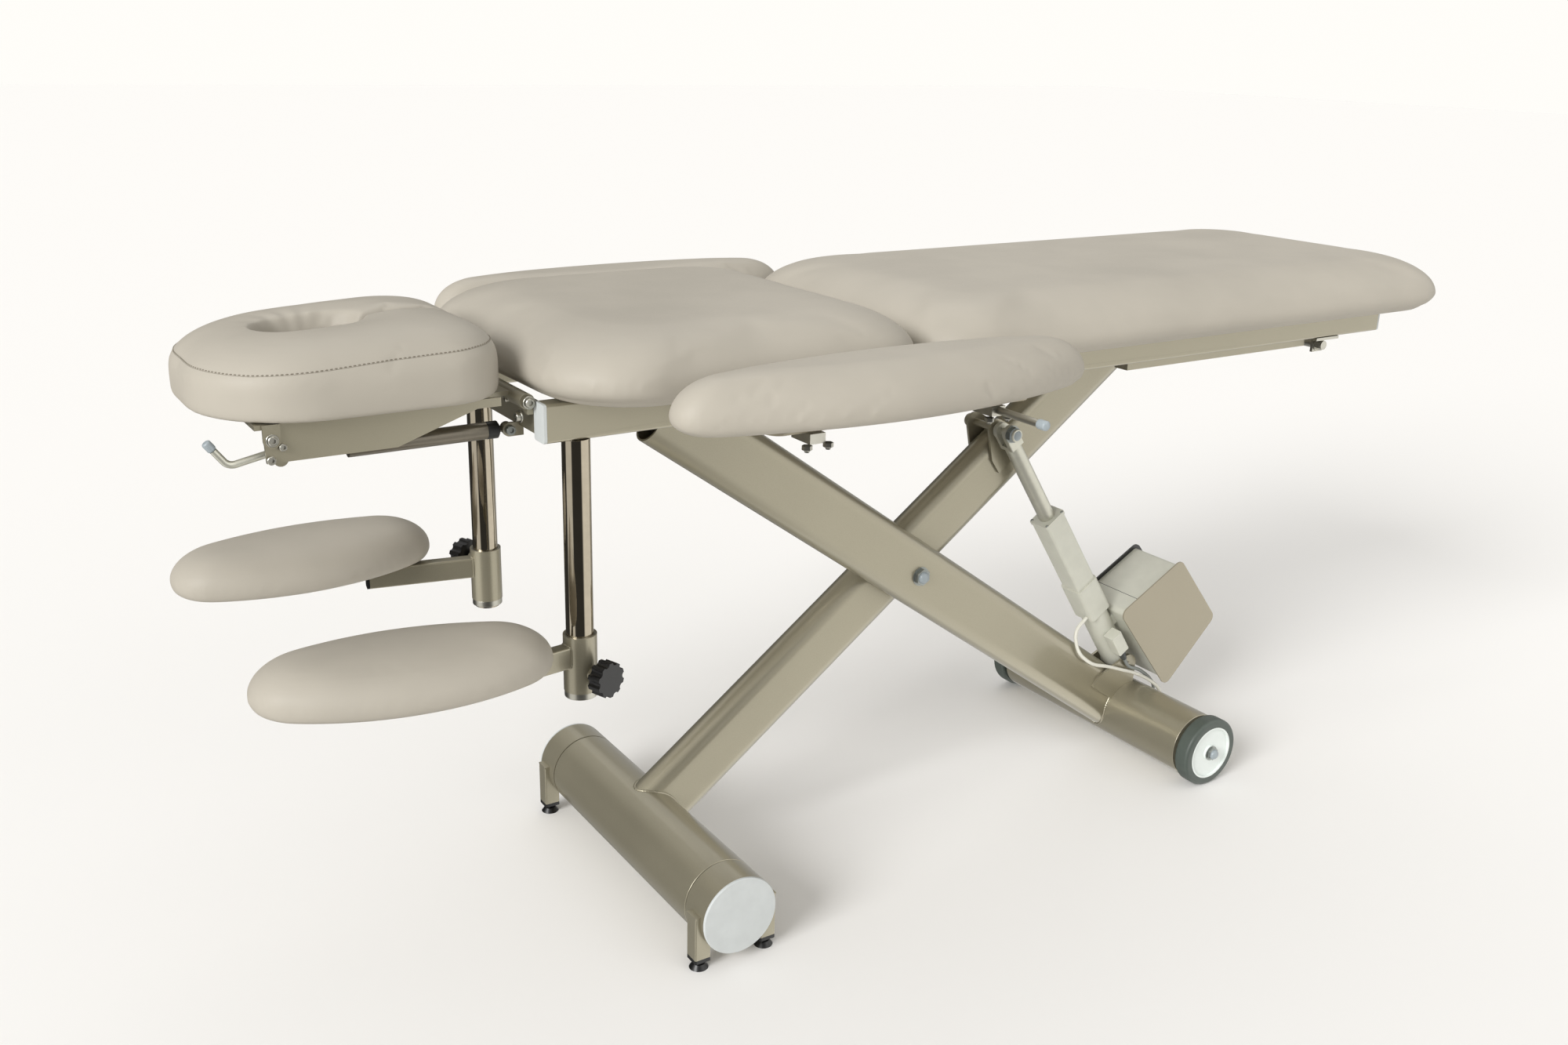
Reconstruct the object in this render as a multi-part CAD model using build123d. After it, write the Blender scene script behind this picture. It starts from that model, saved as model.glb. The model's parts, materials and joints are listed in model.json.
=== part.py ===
from build123d import *
import math
import os

# Lift scissor: places of the four main axes in the X-Z plane
floor_tube_x = -426.0
floor_tube_z = 78.0
beam_x = 566.0
wheel_radius = 62.5
pivot_x = 49.0
pivot_z = 426.4
roller_x = 2 * pivot_x - floor_tube_x
roller_z = 2 * pivot_z - floor_tube_z
shaft_x = 2 * pivot_x - beam_x
shaft_z = 2 * pivot_z - wheel_radius

# Fits and clearances
running_clearance = 0.05
soft_clearance = 0.3
arm_gap = 2.0
overrun = 5.0

# Floor tube that carries the foot-end arm's sleeve between two end sections
floor_tube_radius = 59.0
floor_tube_wall = 3.0
floor_tube_half = 277.0
end_section = 50.0
seam_ring_thickness = 1.6
seam_ring_step = 3.0
seam_play = 0.2
end_cap_thickness = 4.0
end_cap_spigot = 12.0
end_cap_edge = 1.5
journal_length = 26.0
inner_shaft_relief = 6.0
inner_shaft_wall = 6.0

# Levelling feet under the floor tube
leg_square = 25.0
leg_wall = 2.0
leg_offset = 54.0
leg_edge_distance = 24.0
leg_top_rise = 10.0
glide_radius = 14.0
glide_top_radius = 9.0
glide_height = 7.0
glide_stud_radius = 4.0
insert_rim = 6.0
insert_depth = 12.0
foot_height = 19.0

# Scissor arms, flat-oval tube
arm_depth = 104.0
arm_width = 50.0
arm_wall = 3.0
arm_1_cut_drop = 14.8
arm_2_top_gap = 58.45
bush_radius = 19.0
pivot_radius = 12.0
pivot_bush_radius = 20.0
pivot_cap_radius = 21.0
pivot_cap_height = 9.0
pivot_head_height = 6.0
lug_width = 50.0
lug_thickness = 6.0
lug_overlap = 45.0
roller_axle_radius = 10.0
roller_stub_radius = 7.0

# Guide rollers and their channels
roller_radius = 17.0
roller_width = 15.0
roller_outer = 142.0
roller_play = 1.0
channel_wall = 3.0
channel_lip = 26.0
channel_lengths = (149.0, 290.0)

# Rolling beam with its two wheels
beam_radius = 58.0
beam_wall = 3.0
beam_half = 222.0
beam_end_thickness = 6.0
wheel_width = 29.0
wheel_gap = 6.5
wheel_outer = beam_half + wheel_gap + wheel_width
rim_radius = 48.0
tyre_edge = 6.0
disc_recess = 4.0
hub_radius = 14.0
hub_cap_radius = 11.0
hub_cap_height = 5.0
wheel_axle_radius = 6.0

# Top frame rails
rail_width = 30.0
rail_height = 50.0
rail_wall = 2.5
rail_inner = 147.0
rail_bottom = 773.0
rail_head_x = -656.0
rail_foot_x = 973.0
rail_edge = 4.0
rail_cap_thickness = 4.0
rail_cap_spigot = 10.0
shaft_radius = 12.5

# Cross receivers for the side pads' rods
receiver_xs = (-423.0, -145.0)
receiver_width = 26.0
receiver_height = 40.0
receiver_wall = 2.0
receiver_edge = 2.5
receiver_inner = 62.0
receiver_outer = 258.0
receiver_cap_thickness = 4.0
rod_radius = 5.0
rod_drop = 11.0
guide_block_length = 16.0
guide_block_play = 0.3

# Head-end plate, hinge and gas spring lug
head_plate_thickness = 6.0
head_plate_height = 42.0
head_plate_drop = 3.0
hinge_x = -668.0
hinge_z = 822.0
hinge_radius = 10.0
hinge_pin_radius = 5.0
hinge_half = 152.0
knuckle_length = 30.0
hinge_knuckle_inner = 116.0
gas_y = -80.0
gas_frame_x = -669.0
gas_frame_z = 773.0
gas_lug_thickness = 5.0
gas_lug_width = 18.0
gas_pin_radius = 4.0

# Foot-end cross bar
foot_bar_x = 845.0
foot_bar_z = 755.0
foot_bar_radius = 8.0
foot_bar_half = 165.0
foot_tab_width = 60.0
foot_tab_thickness = 5.0
nut_width = 17.0
nut_height = 8.0
washer_radius = 12.0
washer_thickness = 2.0

# Armrest posts under the head end
post_x = -611.0
post_radius = 18.25
post_wall = 2.5
post_bottom = 434.0
sleeve_radius = 22.5
sleeve_wall = 1.5
sleeve_height = 79.0
sleeve_bottoms = (428.0, 446.0)
liner_drop = 9.0
liner_flange = 1.6
bar_width = 20.0
bar_height = 30.0
bar_reach = 170.0
bar_rise = 36.0
bar_cap_thickness = 4.0
bar_edge = 2.5
swings = (7.3, 11.0)
knob_directions = (-70.0, 108.0)
knob_radius = 24.0
knob_thickness = 20.0
knob_distance = 36.0
knob_rises = (27.0, 56.0)
knob_lobes = 10
knob_scallop = 5.0
knob_screw_radius = 4.0
knob_boss_radius = 9.0
knob_boss_length = 9.0
arm_pad_length = 366.0
arm_pad_width = 190.0
arm_pad_end = 66.0
arm_pad_height = 60.0
arm_pad_tuck = 17.0
arm_pad_centres = ((-854.0, -186.0), (-861.0, 216.0))
arm_pad_turns = (-8.0, 2.5)

# Main cushions
rail_top = rail_bottom + rail_height
head_tip_x = -1045.0
head_end_x = -684.0
head_half = 163.0
head_corners = (134.0, 82.0)
head_cushion_rise = 6.5
head_cushion_height = 89.0
head_bottom = rail_top + head_cushion_rise
head_top = head_bottom + head_cushion_height
chest_head_x = -668.0
chest_foot_x = -122.0
chest_half = 286.0
chest_corners = (120.0, 92.0)
leg_head_x = -110.0
leg_foot_x = 1042.0
leg_half = 291.0
leg_corners = (100.0, 105.0)
cushion_height = 88.0
cushion_dome = 112.0
cushion_tuck = 50.0
pad_dome = 68.0
nose_height_share = 0.3
dome_steps = 7
tuck_steps = 3
head_tuck = 5.0
head_tuck_rise = 10.0
head_dome_drop = 47.0
head_dome = 79.0
head_wedge_angle = 2.9
face_hole_x = -890.0
face_hole_length = 124.0
face_hole_width = 84.0
face_slit_width = 12.0
face_hole_lip = 9.0

# Side pads on their sliding rods
side_pad_x = -280.0
side_pad_y = 377.5
side_pad_length = 626.0
side_pad_width = 180.0
side_pad_end = 36.0
side_pad_tuck = 42.0
side_pad_height = 67.0
side_plate_length = 400.0
side_plate_width = 97.0
side_plate_outer = 415.0
side_plate_thickness = 3.0
side_plate_corner = 18.0
rod_inner = 72.0
rod_outer_clip = 424.0
pull_reach = 83.0
rod_outer_pull = rod_outer_clip + pull_reach
pull_cap_radius = 11.0
pull_cap_length = 16.0
pull_cap_wall = 8.0
clip_length = 40.0
clip_width = 22.0
clip_thickness = 2.5

# Linear actuator between the arms
actuator_y = -(arm_gap + arm_width) / 2
actuator_top_x = 233.0
actuator_top_z = 640.0
actuator_foot_x = 553.0
actuator_foot_z = 158.0
actuator_rod_radius = 14.2
actuator_rod_visible = 198.0
actuator_rod_hidden = 42.0
actuator_stroke_room = 215.0
housing_side = 44.0
housing_edge = 4.0
housing_length = 166.0
housing_plate = 6.0
housing_plate_side = 48.0
housing_ear_gap = 0.6
gear_case_length = 76.0
gear_case_half = 25.0
gear_case_reach = 50.0
lower_body_radius = 24.0
lower_eye_radius = 17.0
lower_eye_width = 49.4
lower_body_setback = 12.0
actuator_pin_radius = 6.0
fork_width = 31.0
fork_length = 30.0
fork_radius = 14.0
fork_slot = 14.0
fork_spacer_radius = 9.0
ear_radius = 17.0
ear_thickness = 5.0
ear_foot_width = 74.0
ear_foot_depth = 30.0
nut_cap_radius = 11.0
nut_cap_height = 12.0
foot_plate_thickness = 5.0
foot_plate_radius = 20.0
foot_plate_spread = 110.0
foot_plate_depth = 20.0

# Control box beside the actuator, as places along and across its axis
box_corners_along = (450.0, 463.0, 624.0, 655.0)
box_corners_across = (24.0, 174.0, 191.0, 42.0)
box_near_y = -80.0
box_far_y = 27.0
box_inset = 7.0
box_corner = 9.0
box_plate_corner = 14.0
box_plate_thickness = 3.0
plug_along = 484.0
plug_length = 44.0
plug_across = -5.0
plug_width = 24.0
plug_depth = 24.0
plug_y = -62.0
boot_radius = 9.0
boot_tip_radius = 5.0
boot_length = 24.0

# Head section frame
head_side_inner = 132.0
head_side_thickness = 5.0
head_side_tip_x = -984.0
head_side_end_x = -698.0
head_side_low_x = (-982.0, -830.0, -729.0)
head_side_bottom = 783.0
head_side_end_z = 818.0
head_cushion_gap = 0.5
head_frame_top = head_bottom - head_cushion_gap
head_cross_xs = (-983.0, -760.0)
head_cross_widths = (20.0, 40.0)
gas_shelf_width = 40.0
gas_shelf_inner = 62.0
head_arm_thickness = 6.0
gas_head_setback = 29.0
gas_head_x = head_side_tip_x + gas_head_setback
gas_head_z = 773.0
gas_radius = 11.0
gas_rod_radius = 4.0
gas_cylinder_length = 190.0
gas_eye_radius = 8.0
gas_eye_width = 9.0
lever_x = -966.0
lever_z = 790.0
lever_y = -112.0
lever_radius = 4.3
lever_eye_radius = 9.0
lever_points_x = (0.0, -53.0, -72.0)
lever_points_z = (0.0, -11.0, 15.0)
lever_bend_radius = 13.0
lever_grip_radius = 5.4
lever_grip_length = 13.0

# Leads that run over the beam, as points chosen by hand
lead_radius = 3.2
lead_bend_share = 0.45
motor_lead = ((449.4, -40.0, 267.6), (420.5, -42.0, 248.5), (420.0, -54.0, 211.0),
              (449.0, -64.0, 184.0), (489.0, -66.0, 173.0), (528.0, -67.0, 157.0),
              (561.0, -66.0, 144.0), (596.0, -65.0, 125.0), (626.0, -70.0, 103.0),
              (638.0, -74.0, 72.0), (628.0, -75.0, 48.0))
plug_lead = ((534.5, -62.0, 176.8), (547.5, -62.0, 157.3), (577.0, -61.5, 146.0),
             (607.0, -59.0, 124.0), (634.0, -53.0, 98.0), (640.0, -47.0, 67.0),
             (628.0, -45.0, 47.0))

sides = (-1, 1)
side_names = ("near", "far")


def save(solids, node):
    """Writes one node, a single solid or a group of separate solids."""
    if isinstance(solids, list):
        solids = Compound(children=solids)
    export_step(solids, f"parts/{node}.step")


def rod(radius, length, start, direction):
    """Makes a cylinder from a start point along a direction."""
    plane = Plane(origin=start, z_dir=direction)
    return plane * Cylinder(radius, length, align=(Align.CENTER, Align.CENTER, Align.MIN))


def cross_rod(radius, x, z, y_from, y_to):
    """Makes a cylinder along Y between two places."""
    return rod(radius, y_to - y_from, (x, y_from, z), (0, 1, 0))


def cross_ring(radius, bore, x, z, y_from, y_to):
    """Makes a tube along Y between two places."""
    inside = cross_rod(bore, x, z, y_from - overrun, y_to + overrun)
    return cross_rod(radius, x, z, y_from, y_to) - inside


def block(x_from, x_to, y_from, y_to, z_from, z_to):
    """Makes a box between six faces."""
    centre = ((x_from + x_to) / 2, (y_from + y_to) / 2, (z_from + z_to) / 2)
    return Pos(*centre) * Box(x_to - x_from, y_to - y_from, z_to - z_from)


def span(side, near, far):
    """Gives the Y range between two distances from the middle on one side."""
    return tuple(sorted((side * near, side * far)))


def box_bar(width, height, length, edge, plane):
    """Makes a bar of rounded rectangular section along the plane's normal."""
    return extrude(plane * RectangleRounded(width, height, edge), length)


def box_tube(width, height, length, wall, edge, plane):
    """Makes a hollow bar of rounded rectangular section."""
    inner_edge = max(edge - wall, edge / 4)
    bar = box_bar(width, height, length, edge, plane)
    room = box_bar(width - 2 * wall, height - 2 * wall, length, inner_edge, plane)
    return bar - room


def side_profile(sketch, y_from, y_to):
    """Extrudes a sketch drawn in X and Z between two places along Y."""
    plane = Plane(origin=(0, y_from, 0), x_dir=(1, 0, 0), z_dir=(0, -1, 0))
    return extrude(plane * sketch, y_from - y_to)


def lug_sketch(x, z, radius, foot_x, foot_z, foot_length, foot_depth, angle):
    """Draws a lug: a round eye drawn out to a straight foot."""
    eye = Pos(x, z) * Circle(radius)
    foot = Pos(foot_x, foot_z) * Rot(0, 0, angle) * Rectangle(foot_length, foot_depth)
    return make_hull(eye.edges() + foot.edges())


# Directions of the two arms in the X-Z plane
arm_1_half = math.hypot(pivot_x - floor_tube_x, pivot_z - floor_tube_z)
arm_1_way = Vector(pivot_x - floor_tube_x, 0, pivot_z - floor_tube_z).normalized()
arm_2_half = math.hypot(pivot_x - beam_x, pivot_z - wheel_radius)
arm_2_length = 2 * arm_2_half - arm_2_top_gap
arm_2_way = Vector(pivot_x - beam_x, 0, pivot_z - wheel_radius).normalized()
arm_1_y = (arm_gap + arm_width) / 2
arm_2_y = -arm_1_y
arm_1_near = arm_1_y - arm_width / 2
arm_1_far = arm_1_y + arm_width / 2
arm_2_near = arm_2_y - arm_width / 2
arm_2_far = arm_2_y + arm_width / 2
arm_1_angle = math.degrees(math.atan2(arm_1_way.Z, arm_1_way.X))
arm_2_angle = math.degrees(math.atan2(arm_2_way.Z, arm_2_way.X))


def arm_bar(depth, width, start, way, length, y):
    """Makes a flat-oval bar along an arm."""
    plane = Plane(origin=(start[0], y, start[1]), x_dir=(0, 1, 0), z_dir=way)
    return extrude(plane * Rot(0, 0, 90) * SlotOverall(depth, width), length)


def arm_tube(start, way, length, y):
    """Makes a flat-oval tube along an arm."""
    inner_depth = arm_depth - 2 * arm_wall
    inner_width = arm_width - 2 * arm_wall
    room = arm_bar(inner_depth, inner_width, start, way, length, y)
    return arm_bar(arm_depth, arm_width, start, way, length, y) - room


def make_base():
    """Builds the floor tube's end sections, feet, caps and inner shaft."""
    tubes = []
    caps = []
    feet = []
    section_outer = floor_tube_half - end_cap_thickness
    section_inner = section_outer - end_section
    bore = floor_tube_radius - floor_tube_wall
    for side in sides:
        low, high = span(side, section_inner, section_outer)
        tube = cross_ring(floor_tube_radius, bore, floor_tube_x, floor_tube_z, low, high)
        solid_tube = cross_rod(floor_tube_radius, floor_tube_x, floor_tube_z, low, high)
        leg_y = side * (floor_tube_half - leg_edge_distance)
        leg_height = floor_tube_z + leg_top_rise - foot_height
        for way in sides:
            leg_x = floor_tube_x + way * leg_offset
            plane = Plane(origin=(leg_x, leg_y, foot_height))
            leg = box_tube(leg_square, leg_square, leg_height, leg_wall, leg_wall, plane)
            lid = block(leg_x - leg_square / 2, leg_x + leg_square / 2,
                        leg_y - leg_square / 2, leg_y + leg_square / 2,
                        foot_height + leg_height - leg_wall, foot_height + leg_height)
            tube += (leg + lid) - solid_tube
            feet.append(make_foot(leg_x, leg_y))
        tubes.append(tube)
        cap_low, cap_high = span(side, section_outer, floor_tube_half)
        cap = cross_rod(floor_tube_radius, floor_tube_x, floor_tube_z, cap_low, cap_high)
        face = cap.faces().sort_by(Axis.Y)[-1 if side > 0 else 0]
        cap = fillet(face.edges(), end_cap_edge)
        spigot_low, spigot_high = span(side, section_outer - end_cap_spigot, section_outer)
        cap += cross_rod(bore - running_clearance, floor_tube_x, floor_tube_z,
                         spigot_low, spigot_high)
        caps.append(cap)
    save(tubes, "base_tube_ends")
    save(caps, "base_end_caps")
    save(feet, "levelling_feet")
    shaft_half = section_outer - end_cap_spigot - end_section / 8
    shaft = cross_rod(bore - inner_shaft_relief, floor_tube_x, floor_tube_z,
                      -shaft_half, shaft_half)
    for side in sides:
        low, high = span(side, section_inner - journal_length, shaft_half)
        shaft += cross_rod(bore - running_clearance, floor_tube_x, floor_tube_z, low, high)
        low, high = span(side, section_inner - seam_ring_thickness, section_inner)
        shaft += cross_rod(floor_tube_radius - seam_ring_step, floor_tube_x, floor_tube_z,
                           low, high)
    shaft -= cross_rod(bore - inner_shaft_relief - inner_shaft_wall, floor_tube_x,
                       floor_tube_z, -floor_tube_half, floor_tube_half)
    save(shaft, "base_inner_shaft")
    return section_inner


def make_foot(x, y):
    """Makes one glide disc with its stud and the insert in the leg's end."""
    disc = Pos(x, y, 0) * Cone(glide_radius, glide_top_radius, glide_height,
                               align=(Align.CENTER, Align.CENTER, Align.MIN))
    stud = Pos(x, y, 0) * Cylinder(glide_stud_radius, foot_height,
                                   align=(Align.CENTER, Align.CENTER, Align.MIN))
    rim_plane = Plane(origin=(x, y, foot_height - insert_rim))
    rim = box_bar(leg_square, leg_square, insert_rim, leg_wall, rim_plane)
    inner = leg_square - 2 * leg_wall
    plug = box_bar(inner, inner, insert_rim + insert_depth, leg_wall / 4, rim_plane)
    return disc + stud + rim + plug


def make_arm_1(section_inner):
    """Builds the foot-end arm with its floor sleeve, top bush, axle and actuator ears."""
    sleeve_half = section_inner - seam_ring_thickness - seam_play
    sleeve = cross_ring(floor_tube_radius, floor_tube_radius - floor_tube_wall,
                        floor_tube_x, floor_tube_z, -sleeve_half, sleeve_half)
    save(sleeve, "arm_1_floor_sleeve")
    start = (floor_tube_x, floor_tube_z)
    arm = arm_tube(start, arm_1_way, 2 * arm_1_half + arm_depth, arm_1_y)
    cut_z = roller_z - arm_1_cut_drop
    arm -= block(roller_x - 2 * arm_depth, roller_x + 3 * arm_depth,
                 arm_1_near - overrun, arm_1_far + overrun, cut_z, cut_z + 3 * arm_depth)
    arm += cross_rod(bush_radius, roller_x, roller_z, arm_1_near, arm_1_far)
    arm += cross_rod(pivot_bush_radius, pivot_x, pivot_z, arm_1_near, arm_1_far)
    arm -= cross_rod(roller_axle_radius, roller_x, roller_z, arm_1_near - overrun,
                     arm_1_far + overrun)
    arm -= cross_rod(pivot_radius + running_clearance, pivot_x, pivot_z,
                     arm_1_near - overrun, arm_1_far + overrun)
    arm -= cross_rod(floor_tube_radius, floor_tube_x, floor_tube_z, arm_1_near - overrun,
                     arm_1_far + overrun)
    save(arm, "arm_1_tube")
    stub = roller_outer - roller_width - roller_play
    axle = cross_rod(roller_axle_radius, roller_x, roller_z, -stub, stub)
    axle += cross_rod(roller_stub_radius, roller_x, roller_z, -roller_outer, roller_outer)
    save(axle, "roller_axle")
    rollers = []
    for side in sides:
        low, high = span(side, roller_outer - roller_width, roller_outer)
        roller = cross_ring(roller_radius, roller_stub_radius + running_clearance,
                            roller_x, roller_z, low, high)
        rollers.append(roller)
    save(rollers, "guide_rollers")
    reach = Vector(actuator_top_x - pivot_x, 0, actuator_top_z - pivot_z).dot(arm_1_way)
    foot_middle = Vector(pivot_x, 0, pivot_z) + arm_1_way * reach
    up = Vector(-arm_1_way.Z, 0, arm_1_way.X)
    foot_middle += up * (ear_foot_depth / 4)
    sketch = lug_sketch(actuator_top_x, actuator_top_z, ear_radius, foot_middle.X,
                        foot_middle.Z, ear_foot_width, ear_foot_depth, arm_1_angle)
    hole = Pos(actuator_top_x, actuator_top_z) * Circle(actuator_pin_radius)
    ears = []
    for y_from, y_to in ((arm_1_near - ear_thickness, arm_1_near),
                         (arm_1_far, arm_1_far + ear_thickness)):
        ears.append(side_profile(sketch - hole, y_from, y_to))
    bolt = cross_rod(actuator_pin_radius, actuator_top_x, actuator_top_z,
                     arm_1_near - ear_thickness, arm_1_far + ear_thickness)
    bolt += cross_rod(nut_cap_radius, actuator_top_x, actuator_top_z,
                      arm_1_far + ear_thickness,
                      arm_1_far + ear_thickness + nut_cap_height)
    ears.append(bolt)
    save(ears, "actuator_ears")


def make_arm_2():
    """Builds the head-end arm with its beam, pivot bolt, top lugs and actuator bracket."""
    start = (beam_x, wheel_radius)
    arm = arm_tube(start, arm_2_way, arm_2_length, arm_2_y)
    tip = Vector(shaft_x, 0, shaft_z)
    lug_reach = arm_2_top_gap + lug_overlap
    lug_middle = tip - arm_2_way * (lug_reach / 2)
    lug = Pos(lug_middle.X, lug_middle.Z) * Rot(0, 0, arm_2_angle) * Rectangle(
        lug_reach, lug_width)
    lug += Pos(tip.X, tip.Z) * Circle(lug_width / 2)
    inner_near = arm_2_near + arm_wall
    inner_far = arm_2_far - arm_wall
    arm += side_profile(lug, inner_near, inner_near + lug_thickness)
    arm += side_profile(lug, inner_far - lug_thickness, inner_far)
    arm += cross_rod(bush_radius, tip.X, tip.Z, inner_near, inner_far)
    arm -= cross_rod(shaft_radius + running_clearance, tip.X, tip.Z,
                     arm_2_near - overrun, arm_2_far + overrun)
    arm += cross_rod(pivot_bush_radius, pivot_x, pivot_z, arm_2_near, arm_2_far)
    arm -= cross_rod(pivot_radius, pivot_x, pivot_z, arm_2_near - overrun,
                     arm_2_far + overrun)
    arm -= cross_rod(beam_radius, beam_x, wheel_radius, arm_2_near - overrun,
                     arm_2_far + overrun)
    save(arm, "arm_2_tube")
    beam = [cross_ring(beam_radius, beam_radius - beam_wall, beam_x, wheel_radius,
                       -beam_half, beam_half)]
    axles = []
    wheel_inner = wheel_outer - wheel_width
    axle_end = wheel_outer - disc_recess - hub_cap_height
    for side in sides:
        low, high = span(side, beam_half - beam_end_thickness, beam_half)
        beam.append(cross_ring(beam_radius - beam_wall, wheel_axle_radius, beam_x,
                               wheel_radius, low, high))
        low, high = span(side, beam_half - 3 * beam_end_thickness, axle_end)
        axle = cross_rod(wheel_axle_radius, beam_x, wheel_radius, low, high)
        low, high = span(side, beam_half, wheel_inner - soft_clearance)
        axle += cross_rod(2 * wheel_axle_radius, beam_x, wheel_radius, low, high)
        low, high = span(side, beam_half - 2 * beam_end_thickness,
                         beam_half - beam_end_thickness)
        axle += cross_rod(2 * wheel_axle_radius, beam_x, wheel_radius, low, high)
        axles.append(axle)
    save(beam, "wheel_beam")
    save(axles, "wheel_axles")
    make_pivot_bolt()
    make_foot_bracket()


def make_pivot_bolt():
    """Makes the scissor's pivot bolt with its head, and the cap on its near end."""
    bolt = cross_rod(pivot_radius, pivot_x, pivot_z, arm_2_near, arm_1_far + soft_clearance)
    bolt += cross_rod(pivot_bush_radius, pivot_x, pivot_z, arm_1_far + soft_clearance,
                      arm_1_far + soft_clearance + pivot_head_height)
    cap = cross_rod(pivot_cap_radius, pivot_x, pivot_z, arm_2_near - pivot_cap_height,
                    arm_2_near)
    cap = fillet(cap.faces().sort_by(Axis.Y)[0].edges(), pivot_cap_height / 3)
    save(bolt, "pivot_bolt")
    save(cap, "pivot_cap")


def make_foot_bracket():
    """Makes the actuator's lower bracket on the flanks of the head-end arm, with its pin."""
    offset = Vector(actuator_foot_x - pivot_x, 0, actuator_foot_z - pivot_z)
    reach = offset.dot(arm_2_way)
    middle = Vector(pivot_x, 0, pivot_z) + arm_2_way * reach
    up = Vector(arm_2_way.Z, 0, -arm_2_way.X)
    middle += up * (foot_plate_depth / 2)
    sketch = lug_sketch(actuator_foot_x, actuator_foot_z, foot_plate_radius, middle.X,
                        middle.Z, foot_plate_spread, foot_plate_depth, arm_2_angle)
    beam_cut = Pos(beam_x, wheel_radius) * Circle(beam_radius)
    plates = side_profile(sketch - beam_cut, arm_2_near - foot_plate_thickness, arm_2_near)
    plates += side_profile(sketch - beam_cut, arm_2_far, arm_2_far + foot_plate_thickness)
    plates += cross_rod(actuator_pin_radius, actuator_foot_x, actuator_foot_z,
                        arm_2_near - foot_plate_thickness - washer_thickness,
                        arm_2_far + foot_plate_thickness + washer_thickness)
    save(plates, "actuator_foot_bracket")


def make_wheels():
    """Builds the two wheels, each a tyre on a dished disc with a capped hub."""
    wheel_inner = wheel_outer - wheel_width
    for side, name in zip(sides, side_names):
        low, high = span(side, wheel_inner, wheel_outer)
        tyre = cross_rod(wheel_radius, beam_x, wheel_radius, low, high)
        tyre = fillet(tyre.edges().filter_by(GeomType.CIRCLE), tyre_edge)
        tyre -= cross_rod(rim_radius, beam_x, wheel_radius, low - overrun, high + overrun)
        disc = cross_rod(rim_radius, beam_x, wheel_radius, low, high)
        for near, far in ((wheel_inner - overrun, wheel_inner + disc_recess),
                          (wheel_outer - disc_recess, wheel_outer + overrun)):
            cut_low, cut_high = span(side, near, far)
            disc -= cross_ring(rim_radius - tyre_edge / 2, hub_radius, beam_x,
                               wheel_radius, cut_low, cut_high)
        low, high = span(side, wheel_inner - overrun,
                         wheel_outer - disc_recess - hub_cap_height + soft_clearance)
        disc -= cross_rod(wheel_axle_radius + running_clearance, beam_x, wheel_radius,
                          low, high)
        save(tyre, f"tyre_{name}")
        save(disc, f"wheel_disc_{name}")


def receiver_solids(x, side):
    """Gives the outer block and the hollow tube of one cross receiver."""
    low, high = span(side, receiver_inner, receiver_outer)
    plane = Plane(origin=(x, low, rail_top - receiver_height / 2), x_dir=(1, 0, 0),
                  z_dir=(0, 1, 0))
    bar = box_bar(receiver_width, receiver_height, high - low, receiver_edge, plane)
    tube = box_tube(receiver_width, receiver_height, high - low, receiver_wall,
                    receiver_edge, plane)
    return bar, tube


def make_top_frame():
    """Builds the rails, receivers, channels, shaft, posts and end members."""
    rail_y = rail_inner + rail_width / 2
    bars = {}
    tubes = []
    for side in sides:
        bars[side] = []
        for x in receiver_xs:
            bar, tube = receiver_solids(x, side)
            bars[side].append(bar)
            tubes.append(tube)
    save(tubes, "cross_receivers")
    caps = []
    for side, name in zip(sides, side_names):
        plane = Plane(origin=(rail_head_x, side * rail_y, rail_bottom + rail_height / 2),
                      x_dir=(0, 1, 0), z_dir=(1, 0, 0))
        length = rail_foot_x - rail_head_x
        rail = box_tube(rail_width, rail_height, length, rail_wall, rail_edge, plane)
        for bar in bars[side]:
            rail -= bar
        save(rail, f"rail_{name}")
        inner_width = rail_width - 2 * rail_wall
        inner_height = rail_height - 2 * rail_wall
        for x, way in ((rail_head_x, -1), (rail_foot_x, 1)):
            origin = (x, side * rail_y, rail_bottom + rail_height / 2)
            cap_plane = Plane(origin=origin, x_dir=(0, 1, 0), z_dir=(way, 0, 0))
            cap = box_bar(rail_width, rail_height, rail_cap_thickness, rail_edge, cap_plane)
            in_plane = Plane(origin=origin, x_dir=(0, 1, 0), z_dir=(-way, 0, 0))
            cap += box_bar(inner_width, inner_height, rail_cap_spigot,
                           rail_edge - rail_wall, in_plane)
            caps.append(cap)
        for x in receiver_xs:
            cap_plane = Plane(origin=(x, side * receiver_outer, rail_top - receiver_height / 2),
                              x_dir=(1, 0, 0), z_dir=(0, side, 0))
            cap = box_bar(receiver_width, receiver_height, receiver_cap_thickness,
                          receiver_edge, cap_plane)
            low, high = span(side, receiver_outer - overrun,
                             receiver_outer + receiver_cap_thickness + overrun)
            cap -= cross_rod(rod_radius + running_clearance, x, rail_top - rod_drop, low, high)
            caps.append(cap)
    save(caps, "frame_caps")
    make_channels()
    save(cross_rod(shaft_radius, shaft_x, shaft_z, -rail_inner, rail_inner), "cross_shaft")
    posts = []
    for side in sides:
        post = rod(post_radius, rail_bottom - post_bottom, (post_x, side * rail_y, post_bottom),
                   (0, 0, 1))
        post -= rod(post_radius - post_wall, rail_bottom - post_bottom - post_wall,
                    (post_x, side * rail_y, post_bottom), (0, 0, 1))
        posts.append(post)
    save(posts, "armrest_posts")
    make_head_bracket()
    make_foot_bar()


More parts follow.
